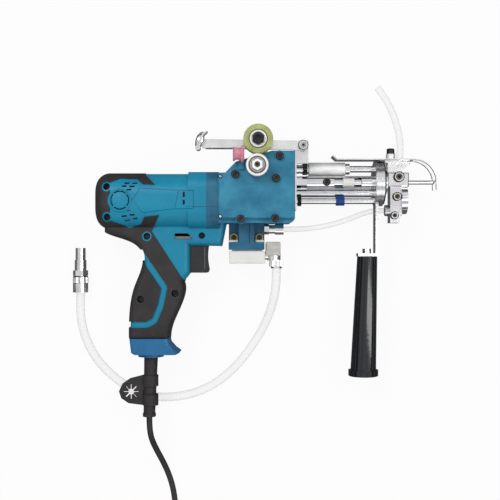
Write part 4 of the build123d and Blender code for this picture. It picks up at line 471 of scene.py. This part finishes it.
windings = {  # the rest of the mains lead, wound in two layers
    "radius": 0.0034, "length": 2.0256, "pitch": 0.0074, "outer": 0.056, "turns": 4, "climb": 0.5,
    "back": 3.5, "centre": (-0.0515, -0.3618), "upperCentre": (-0.0552, -0.3618), "tail": 0.04,
    "perTurn": 16, "start": (-0.1075, -0.355, 0.0034),
}
cordMesh = {"bevelSteps": 6, "curveSteps": 8, "splineOrder": 3}


def splineMade(name, points, radius, finishName):
    curve = bpy.data.curves.new(name, "CURVE")
    curve.dimensions = "3D"
    curve.bevel_depth = radius
    curve.bevel_resolution = cordMesh["bevelSteps"]
    curve.resolution_u = cordMesh["curveSteps"]
    curve.use_fill_caps = True
    spline = curve.splines.new("NURBS")
    spline.points.add(len(points) - 1)
    for control, point in zip(spline.points, points):
        control.co = (*point, 1.0)
    spline.order_u = cordMesh["splineOrder"]
    spline.use_endpoint_u = True
    curve.materials.append(finish(finishName))
    piece = bpy.data.objects.new(name, curve)
    bpy.context.scene.collection.objects.link(piece)
    return piece


def woundPoint(centre, radius, angle, height):
    x, y = windings[centre]
    return (x + radius * math.cos(angle), y + radius * math.sin(angle), height)


def woundPoints():
    perTurn, pitch, start = windings["perTurn"], windings["pitch"], windings["start"]
    step = 2 * math.pi / perTurn
    fold = math.cos(step / 2)  # a spline of this kind runs inside its control points by this share
    inner = windings["outer"] - pitch * windings["turns"]
    points = [start]
    for index in range(windings["turns"] * perTurn):
        turns = (index + 0.5) / perTurn
        radius = (windings["outer"] - pitch * turns) / fold
        points.append(woundPoint("centre", radius, math.pi + (index + 0.5) * step, start[2]))
    climbing = round(windings["climb"] * perTurn)
    for index in range(climbing):
        share = (index + 0.5) / climbing
        radius = (inner - pitch / 2 * share) / fold
        height = start[2] + pitch * (0.5 - 0.5 * math.cos(math.pi * share))
        points.append(woundPoint("centre", radius, math.pi + (index + 0.5) * step, height))
    for index in range(round(windings["back"] * perTurn)):
        turns = (index + 0.5) / perTurn
        radius = (inner + pitch * turns) / fold
        points.append(woundPoint("upperCentre", radius, (index + 0.5) * step, start[2] + pitch))
    points.append((start[0], windings["centre"][1] - windings["tail"], start[2] + pitch))
    return points


for cordName, facts in cords.items():
    line = splineMade(cordName, facts["points"], facts["radius"], facts["finish"])
    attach(line, "machine")
    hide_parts(facts["node"])
coil = splineMade("mainsCoil", woundPoints(), windings["radius"], "softRubber")
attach(coil, "machine")
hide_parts("mains_coil")
print("cords are laid")

# Detail that the solids don't carry, in millimetres
millimetre = 0.001
forms = {
    "sides": 48, "wideSides": 96, "edge": 0.3, "blockEdge": 0.5, "blockSegments": 3, "leafSides": 16,
    "discThickness": 0.1,
    "steep": 0.9,  # an axis with more upward share than this takes its side from X
    "crease": 35,  # degrees
    "weld": 0.000002,  # metres
}


class Form:
    def __init__(self):
        self.points = []
        self.faces = []

    def turn(self, profile, at, axis=(0, 0, 1), sides=forms["sides"]):
        # The profile is a run of radius and reach along the axis, swung round it to a closed solid
        onAxis = profile[-1][0] == 0.0
        if onAxis:
            under = profile[0][1] - forms["discThickness"]
            profile = [(0.0, under), (profile[0][0], under)] + profile
        along = Vector(axis).normalized()
        level = abs(along.z) < forms["steep"]
        side = Vector((0, 0, 1)).cross(along) if level else Vector((1, 0, 0))
        side.normalize()
        other = along.cross(side)
        first = len(self.points)
        for index in range(sides):
            angle = 2 * math.pi * (index + 0.5) / sides
            out = side * math.cos(angle) + other * math.sin(angle)
            for radius, reach in profile:
                self.points.append((Vector(at) + along * reach + out * radius) * millimetre)
        count = len(profile)
        for index in range(sides):
            here = first + index * count
            there = first + (index + 1) % sides * count
            for step in range(count - 1 if onAxis else count):
                after = (step + 1) % count
                self.faces.append((here + step, there + step, there + after, here + after))
        return self

    def ring(
        self, outer, inner, low, high, at, axis=(0, 0, 1), sides=forms["sides"], edge=forms["edge"]
    ):
        profile = [
            (outer, low), (outer, high - edge), (outer - edge, high), (inner + edge, high),
            (inner, high - edge), (inner, low),
        ]
        return self.turn(profile, at, axis, sides)

    def block(self, low, high, edge=forms["blockEdge"]):
        solid = bmesh.new()
        bmesh.ops.create_cube(solid, size=1)
        size = Vector(high) - Vector(low)
        middle = (Vector(high) + Vector(low)) / 2
        for vertex in solid.verts:
            vertex.co = Vector(a * b for a, b in zip(vertex.co, size)) + middle
        bmesh.ops.bevel(
            solid, geom=list(solid.edges), offset=edge, segments=forms["blockSegments"],
            affect="EDGES", profile=0.5,
        )
        first = len(self.points)
        solid.verts.index_update()
        self.points += [vertex.co * millimetre for vertex in solid.verts]
        self.faces += [tuple(first + vertex.index for vertex in face.verts) for face in solid.faces]
        solid.free()
        return self

    def leaf(self, rows, thickness):
        # Flat oval sections, each a middle, a half-width vector and a share of the thickness
        first, sides = len(self.points), forms["leafSides"]
        for middle, half, share in rows:
            up = Vector((0, 0, 1)) * thickness * share
            for index in range(sides):
                angle = 2 * math.pi * index / sides
                point = Vector(middle) + Vector(half) * math.cos(angle) + up * math.sin(angle)
                self.points.append(point * millimetre)
        last = first + (len(rows) - 1) * sides
        for here in range(first, last, sides):
            for index in range(sides):
                after = (index + 1) % sides
                self.faces.append((here + index, here + after, here + sides + after, here + sides + index))
        self.faces.append(tuple(range(first, first + sides)))
        self.faces.append(tuple(range(last, last + sides)))
        return self


def shownPiece(name, mesh, finishName, body):
    solid = bmesh.new()
    solid.from_mesh(mesh)
    bmesh.ops.remove_doubles(solid, verts=solid.verts, dist=forms["weld"])
    bmesh.ops.recalc_face_normals(solid, faces=solid.faces)
    solid.to_mesh(mesh)
    solid.free()
    for face in mesh.polygons:
        face.use_smooth = True
    mesh.set_sharp_from_angle(angle=math.radians(forms["crease"]))
    if not mesh.materials:
        mesh.materials.append(finish(finishName))
    piece = bpy.data.objects.new(name, mesh)
    bpy.context.scene.collection.objects.link(piece)
    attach(piece, body)
    return piece


def formPiece(name, form, finishName, body):
    mesh = bpy.data.meshes.new(name)
    mesh.from_pydata([tuple(point) for point in form.points], [], form.faces)
    return shownPiece(name, mesh, finishName, body)


# Geometry node trees for what repeats
repeats = {"ribSides": 28, "ringSides": 32, "wireSides": 8, "gridPerMetre": 200000}


def treeMade(name, sockets):
    tree = bpy.data.node_groups.new(name, "GeometryNodeTree")
    tree.interface.new_socket("Geometry", in_out="OUTPUT", socket_type="NodeSocketGeometry")
    for socketName, kind in sockets.items():
        tree.interface.new_socket(socketName, in_out="INPUT", socket_type="NodeSocket" + kind)
    sheet = Sheet(tree)
    entry = sheet.add("NodeGroupInput").socket.node
    return sheet, {socketName: Value(sheet, entry.outputs[socketName]) for socketName in sockets}


def treeClosed(sheet, geometry, material):
    whole = sheet.add("GeometryNodeRealizeInstances", {}, {0: geometry})
    dressed = sheet.add("GeometryNodeSetMaterial", {}, {"Geometry": whole, "Material": material})
    sheet.add("NodeGroupOutput", {}, {0: dressed})
    return sheet.tree


def knurlTreeMade():
    sheet, given = treeMade("knurl", {
        "Teeth": "Int", "Radius": "Float", "Length": "Float", "Tooth": "Float", "Finish": "Material",
    })
    ring = sheet.add(
        "GeometryNodeMeshCircle", {}, {"Vertices": given["Teeth"], "Radius": given["Radius"]}
    )
    size = sheet.add(
        "ShaderNodeCombineXYZ", {}, {0: given["Tooth"], 1: given["Tooth"], 2: given["Length"]}
    )
    tooth = sheet.add("GeometryNodeMeshCube", {}, {"Size": size})
    outward = sheet.add(
        "FunctionNodeAlignRotationToVector", {"axis": "X"},
        {"Vector": sheet.add("GeometryNodeInputPosition")},
    )
    turned = sheet.add(
        "FunctionNodeRotateRotation", {"rotation_space": "LOCAL"},
        {0: outward, 1: sheet.add("FunctionNodeEulerToRotation", {}, {0: (0.0, 0.0, math.pi / 4)})},
    )
    teeth = sheet.add(
        "GeometryNodeInstanceOnPoints", {}, {"Points": ring, "Instance": tooth, "Rotation": turned}
    )
    return treeClosed(sheet, teeth, given["Finish"])


def ribTreeMade():
    sheet, given = treeMade("ribs", {
        "Ribs": "Int", "Start": "Vector", "Step": "Vector", "Radius": "Float", "Length": "Float",
        "Turn": "Vector", "Squash": "Vector", "Finish": "Material",
    })
    line = sheet.add(
        "GeometryNodeMeshLine", {"mode": "OFFSET"},
        {"Count": given["Ribs"], "Start Location": given["Start"], "Offset": given["Step"]},
    )
    rib = sheet.add(
        "GeometryNodeMeshCylinder", {},
        {"Vertices": repeats["ribSides"], "Radius": given["Radius"], "Depth": given["Length"]},
    )
    ribs = sheet.add("GeometryNodeInstanceOnPoints", {}, {
        "Points": line, "Instance": rib, "Scale": given["Squash"],
        "Rotation": sheet.add("FunctionNodeEulerToRotation", {}, {0: given["Turn"]}),
    })
    return treeClosed(sheet, ribs, given["Finish"])


def faceTreeMade():
    # Rings of a second tone on screw heads: the host's points carry each head's radius and facing
    sheet, given = treeMade("headRings", {
        "Heads": "Geometry", "Share": "Float", "Wire": "Float", "Finish": "Material",
    })
    radius = sheet.add(
        "GeometryNodeInputNamedAttribute", {"data_type": "FLOAT"}, {"Name": "headRadius"}
    )
    facing = sheet.add(
        "GeometryNodeInputNamedAttribute", {"data_type": "FLOAT_VECTOR"}, {"Name": "facing"}
    )
    path = sheet.add(
        "GeometryNodeCurvePrimitiveCircle", {"mode": "RADIUS"},
        {"Resolution": repeats["ringSides"], "Radius": given["Share"]},
    )
    wire = sheet.add(
        "GeometryNodeCurvePrimitiveCircle", {"mode": "RADIUS"},
        {"Resolution": repeats["wireSides"], "Radius": given["Wire"]},
    )
    ring = sheet.add("GeometryNodeCurveToMesh", {}, {"Curve": path, "Profile Curve": wire})
    rings = sheet.add("GeometryNodeInstanceOnPoints", {}, {
        "Points": given["Heads"], "Instance": ring,
        "Rotation": sheet.add("FunctionNodeAlignRotationToVector", {"axis": "Z"}, {"Vector": facing}),
        "Scale": radius,
    })
    return treeClosed(sheet, rings, given["Finish"])


def grownMesh(tree, sizes, host=None):
    carrier = bpy.data.objects.new("grower", host or bpy.data.meshes.new("grower"))
    bpy.context.scene.collection.objects.link(carrier)
    modifier = carrier.modifiers.new("grower", "NODES")
    modifier.node_group = tree
    for item in tree.interface.items_tree:
        if item.in_out == "INPUT" and item.name in sizes:
            modifier[item.identifier] = sizes[item.name]
    carrier.update_tag()
    mesh = bpy.data.meshes.new_from_object(
        carrier.evaluated_get(bpy.context.evaluated_depsgraph_get())
    )
    carrier.modifiers.remove(modifier)
    bpy.data.objects.remove(carrier)
    return mesh


knurlTree, ribTree, faceTree = knurlTreeMade(), ribTreeMade(), faceTreeMade()
knurls = {
    "rollerKnurl": {
        "Teeth": 64, "Radius": 12.2, "Length": 17.0, "Tooth": 0.5, "at": (-12.8, 95.6, 81.1),
        "axis": (0, 0, 1), "finish": "satinAluminium", "body": "feed",
    },
    "couplerKnurl": {
        "Teeth": 44, "Radius": 8.4, "Length": 6.4, "Tooth": 0.8, "at": (-220.4, -32.4, 9.0),
        "axis": (0, 1, 0), "finish": "nickel", "body": "machine",
    },
    "hoseNutKnurl": {
        "Teeth": 30, "Radius": 7.1, "Length": 7.4, "Tooth": 1.0, "at": (9.2, -12.0, 34.0),
        "axis": (0, 1, 0), "finish": "nickel", "body": "machine",
    },
    "sleeveNutKnurl": {
        "Teeth": 30, "Radius": 6.2, "Length": 5.4, "Tooth": 0.8, "at": (42.6, 96.2, 30.0),
        "axis": (1, 0, 0), "finish": "blackOxide", "body": "machine",
    },
}
for pieceName, facts in knurls.items():
    drum = grownMesh(knurlTree, {
        "Teeth": facts["Teeth"], "Radius": facts["Radius"] * millimetre,
        "Length": facts["Length"] * millimetre, "Tooth": facts["Tooth"] * millimetre,
        "Finish": finish(facts["finish"]),
    })
    facing = Vector((0, 0, 1)).rotation_difference(Vector(facts["axis"])).to_matrix().to_4x4()
    drum.transform(Matrix.Translation(Vector(facts["at"]) * millimetre) @ facing)
    shownPiece(pieceName, drum, facts["finish"], facts["body"])
ribRuns = {
    "heelRibs": {
        "Ribs": 4, "Start": (-185.2, 45.6, 34.0), "Step": (0, 8.6, 0), "Radius": 6.6, "Length": 34.0,
        "Turn": (0, 0, 0), "Squash": (1, 0.68, 1), "finish": "softRubber", "body": "machine",
    },
    "plugRibs": {
        "Ribs": 6, "Start": (-107.5, -424.0, 10.8), "Step": (0, -3.2, 0), "Radius": 10.6,
        "Length": 1.2, "Turn": (math.pi / 2, 0, 0), "Squash": (1, 0.9, 1), "finish": "softRubber",
        "body": "machine",
    },
}
for pieceName, facts in ribRuns.items():
    row = grownMesh(ribTree, {
        "Ribs": facts["Ribs"], "Start": [value * millimetre for value in facts["Start"]],
        "Step": [value * millimetre for value in facts["Step"]],
        "Radius": facts["Radius"] * millimetre, "Length": facts["Length"] * millimetre,
        "Turn": facts["Turn"], "Squash": facts["Squash"],
        "Finish": finish(facts["finish"]),
    })
    shownPiece(pieceName, row, facts["finish"], facts["body"])


def headPlaces(node):
    # Each loose body of a screw node, as its box in metres; points on one grid spot count as one
    owner, grid = {}, repeats["gridPerMetre"]

    def root(key):
        while owner[key] != key:
            key = owner[key]
        return key

    spots = [
        tuple(round(value * grid) for value in node.matrix_world @ vertex.co)
        for vertex in node.data.vertices
    ]
    for spot in spots:
        owner.setdefault(spot, spot)
    for edge in node.data.edges:
        first, second = root(spots[edge.vertices[0]]), root(spots[edge.vertices[1]])
        owner[first] = second
    groups = {}
    for spot in owner:
        groups.setdefault(root(spot), []).append(Vector(spot) / grid)
    return [
        (
            Vector(min(point[side] for point in group) for side in range(3)),
            Vector(max(point[side] for point in group) for side in range(3)),
        )
        for group in groups.values()
    ]


def ringPiece(name, heads, share, wire, finishName, body):
    host = bpy.data.meshes.new(name)
    host.from_pydata([at for at, radius, way in heads], [], [])
    radii = host.attributes.new("headRadius", "FLOAT", "POINT")
    ways = host.attributes.new("facing", "FLOAT_VECTOR", "POINT")
    for index, (at, radius, way) in enumerate(heads):
        radii.data[index].value = radius
        ways.data[index].vector = way
    sizes = {"Share": share, "Wire": wire, "Finish": finish(finishName)}
    return shownPiece(name, grownMesh(faceTree, sizes, host), finishName, body)


def topHeads(nodeName):
    found = []
    for low, high in headPlaces(nodes[nodeName]):
        middle = (low + high) / 2
        radius = min(high.x - low.x, high.y - low.y) / 2
        found.append((Vector((middle.x, middle.y, high.z)), radius, Vector((0, 0, 1))))
    return found


headRings = {  # radius and wire are shares of each head's radius
    "coverScrewRings": {"node": "socket_screws", "radius": 0.68, "wire": 0.06, "finish": "recessBrown"},
    "wellScrewRings": {"node": "housing_screws", "radius": 0.7, "wire": 0.08, "finish": "recessBrown"},
    "flangeScrewRings": {"node": "flange_screws", "radius": 0.42, "wire": 0.2, "finish": "nickel"},
}
for pieceName, facts in headRings.items():
    ringPiece(
        pieceName, topHeads(facts["node"]), facts["radius"], facts["wire"], facts["finish"], "machine"
    )
print("repeated details are grown")

# Places that several details share, and the three screws of the head block
badgeFace = (-165.5, 58.5, 67.0)
rollerFace = (-12.8, 95.6, 90.7)
tyreFace = (-11.7, 124.7, 86.0)
pivotHead = (38.8, 120.3, 64.5)
along = (1, 0, 0)
upright = (0, 1, 0)
headScrews = [
    {"at": (143.7, 42.4, 46.8), "shade": 4.5, "head": 3.8, "hole": 2.5, "recess": 2.6, "socket": 1.5,
     "shadeLow": -2.0, "low": -1.6, "high": 0.4},
    {"at": (146.6, 63.9, 47.0), "shade": 5.0, "head": 4.3, "hole": 2.8, "recess": 2.9, "socket": 1.7,
     "shadeLow": -2.0, "low": -1.6, "high": 0.4},
    {"at": (148.4, 86.1, 49.2), "shade": 6.0, "head": 5.2, "hole": 3.5, "recess": 3.6, "socket": 2.1,
     "shadeLow": -2.4, "low": -2.4, "high": 0.5},
]
shadeHigh, shadeEdge, recessHigh, socketHigh = 0.1, 0.05, 0.1, 0.16
headShades, headFaces, headRecesses, headSockets = Form(), Form(), Form(), Form()
for screw in headScrews:
    headShades.ring(
        screw["shade"], screw["head"], screw["shadeLow"], shadeHigh, screw["at"], edge=shadeEdge
    )
    headFaces.ring(screw["head"], screw["hole"], screw["low"], screw["high"], screw["at"])
    headRecesses.turn([(screw["recess"], recessHigh), (0.0, recessHigh)], screw["at"])
    headSockets.turn([(screw["socket"], socketHigh), (0.0, socketHigh)], screw["at"], sides=6)
pocketNuts = Form()
for nutX in (-39.2, -10.0):
    pocketNuts.turn([(5.4, -3.0), (5.4, -0.6), (4.8, 0.0), (3.7, 0.0)], (nutX, 17.3, 39.0), sides=6)

# Each detail: its finish, the body that it rides on and its form
details = {
    "badgeBoss": ("tealPlastic", "machine", Form()
        .ring(13.2, 11.2, -1.6, 0.7, badgeFace, edge=0.5)
        .turn([(8.8, -0.4), (8.6, 0.35), (7.6, 0.55), (0.0, 0.65)], badgeFace)),
    "blockSlots": ("gapShade", "machine", Form()
        .block((-95.9, 61.5, 65.0), (-92.9, 67.9, 67.1), 0.6)
        .block((-95.9, 53.4, 65.0), (-92.9, 59.2, 67.1), 0.6)
        .block((-90.8, 84.2, 55.0), (-86.0, 86.2, 58.4), 0.5)),
    "seamLines": ("seamShade", "machine", Form()
        .block((-92.0, 50.9, 66.6), (-56.4, 51.5, 67.06), 0.15)),
    "slotWeb": ("gapShade", "machine", Form().block((-105.6, 18.7, 31.0), (-86.2, 21.7, 37.0), 0.3)),
    "triggerRidge": ("leverGrey", "trigger_key", Form()
        .block((-72.6, -18.2, 43.4), (-71.8, 6.4, 44.4), 0.3)),
    "rollerRim": ("whiteSatin", "feed", Form()
        .ring(12.4, 9.4, -0.4, 1.0, rollerFace, edge=0.6)),
    "rollerDish": ("recessBrown", "feed", Form().turn([(9.6, 0.2), (0.0, 0.2)], rollerFace)),
    "rollerFlange": ("nutSteel", "feed", Form()
        .turn([(8.6, 0.2), (8.6, 0.8), (8.1, 1.2), (6.0, 1.3)], rollerFace)),
    "rollerNut": ("whiteSatin", "feed", Form()
        .turn([(7.0, 1.0), (7.0, 4.2), (6.2, 5.0), (3.4, 5.0), (3.3, 4.2)], rollerFace, sides=6)),
    "rollerStud": ("recessBrown", "feed", Form()
        .turn([(3.3, 4.4), (3.1, 5.3), (2.7, 5.6), (0.0, 5.6)], rollerFace)),
    "rollerSocket": ("gapShade", "feed", Form()
        .turn([(1.6, 5.66), (0.0, 5.66)], rollerFace, sides=6)
        .turn([(7.5, 1.0), (7.5, 1.36), (7.0, 1.36)], rollerFace, sides=6)),
    "bearingShield": ("whiteSatin", "pressure_roller", Form()
        .ring(9.5, 7.4, -0.2, 0.6, tyreFace)),
    "bearingEdge": ("gapShade", "pressure_roller", Form()
        .ring(10.3, 9.5, -0.2, 0.3, tyreFace, edge=0.1)),
    "boltNut": ("nickel", "pressure_lever", Form()
        .turn([(7.5, 0.7), (7.5, 1.6), (6.9, 2.0), (6.6, 2.0)], tyreFace, sides=6)),
    "guideRim": ("rimMagenta", "machine", Form()
        .ring(7.75, 5.4, -0.3, 1.5, (-39.2, 108.4, 79.0), along)),
    "pivotFace": ("nickel", "machine", Form()
        .ring(5.1, 3.3, -0.3, 0.7, pivotHead, edge=0.3)),
    "pivotRecess": ("nutSteel", "machine", Form()
        .turn([(3.4, 0.2), (0.0, 0.3)], pivotHead, sides=6)),
    "pivotShade": ("gapShade", "machine", Form()
        .ring(5.7, 5.1, -0.3, 0.12, pivotHead, edge=0.05)
        .turn([(1.6, 0.34), (0.0, 0.34)], pivotHead, sides=6)),
    "guideFootPaint": ("bluePaint", "machine", Form()
        .block((-33.5, 92.1, 69.9), (-27.3, 100.6, 72.7), 0.4)),
    "rodBush": ("gapShade", "machine", Form()
        .ring(6.0, 4.2, 0.0, 4.4, (33.8, 59.4, 34.0), along)),
    "rodCollar": ("collarBlue", "machine", Form()
        .ring(5.5, 4.2, 0.0, 9.8, (77.9, 59.4, 34.0), along)),
    # Dark plates of painted shade inside the far vents, that stop the white floor from showing through
    # them
    "ventBaffles": ("gapShade", "machine", Form()
        .block((-155.2, 72.5, 7.4), (-149.0, 75.1, 8.3), 0.2)
        .block((-158.7, 68.8, 6.8), (-152.3, 71.4, 7.7), 0.2)
        .block((-160.0, 44.2, 9.0), (-149.0, 49.3, 9.8), 0.2)),
    "couplerGap": ("gapShade", "machine", Form()
        .ring(8.6, 6.0, 0.0, 1.2, (-220.4, -28.8, 9.0), upright, edge=0.1)
        .ring(8.6, 6.0, 0.0, 0.7, (-220.4, -36.6, 9.0), upright, edge=0.1)),
    "carrierGaps": ("gapShade", "machine", Form()
        .ring(23.95, 22.0, 0.0, 1.3, (123.4, 79.3, 34.0), along, forms["wideSides"], 0.1)
        .ring(23.95, 22.0, 0.0, 1.3, (131.4, 79.3, 34.0), along, forms["wideSides"], 0.1)),
    "headShades": ("gapShade", "machine", headShades),
    "knobSpacer": ("whiteSatin", "machine", Form()
        .ring(5.4, 3.0, 1.5, 7.6, (140.9, 105.6, 34.0), upright)),
    "headFaces": ("nickel", "machine", headFaces),
    "headRecesses": ("recessBrown", "machine", headRecesses),
    "headSockets": ("gapShade", "machine", headSockets),
    "needleHub": ("brass", "carriage", Form()
        .turn([(3.0, 0.0), (4.3, 0.3), (4.3, 4.6), (3.0, 5.2)], (99.1, 80.5, 34.0), along)),
    "elbowBody": ("castBeige", "machine", Form().block((-2.8, -3.7, 25.6), (14.2, 12.4, 42.4), 1.8)),
    "pocketPads": ("creamPlastic", "machine", Form()
        .block((-44.6, 10.6, 37.0), (-34.4, 14.4, 40.2), 0.3)
        .block((-15.0, 10.6, 37.0), (-4.8, 14.4, 40.2), 0.3)),
    "pocketNuts": ("brass", "machine", pocketNuts),
    "mountSeam": ("seamShade", "machine", Form().block((-21.8, 10.0, 45.6), (-20.5, 33.0, 46.1), 0.2)),
    "leverShade": ("coreSteel", "pressure_lever", Form()
        .block((-70.0, 116.1, 57.0), (-29.0, 117.0, 66.2), 0.2)),
    "thumbTab": ("brightSteel", "pressure_lever", Form().leaf([
        ((-80.3, 114.4, 62.0), (0.3, 0.0, 0.0), 0.1), ((-79.6, 116.4, 63.0), (2.0, -0.6, 0.0), 0.7),
        ((-78.4, 120.0, 64.6), (3.6, -1.1, 0.0), 1.0), ((-77.0, 124.5, 65.6), (4.4, -1.4, 0.0), 1.0),
        ((-75.6, 129.0, 65.0), (4.1, -1.3, 0.0), 1.0), ((-74.2, 133.0, 63.4), (2.6, -0.8, 0.0), 0.8),
        ((-73.4, 135.3, 62.2), (0.3, 0.0, 0.0), 0.1),
    ], 2.2)),
}
for pieceName, (finishName, body, form) in details.items():
    formPiece(pieceName, form, finishName, body)
print("details are set")
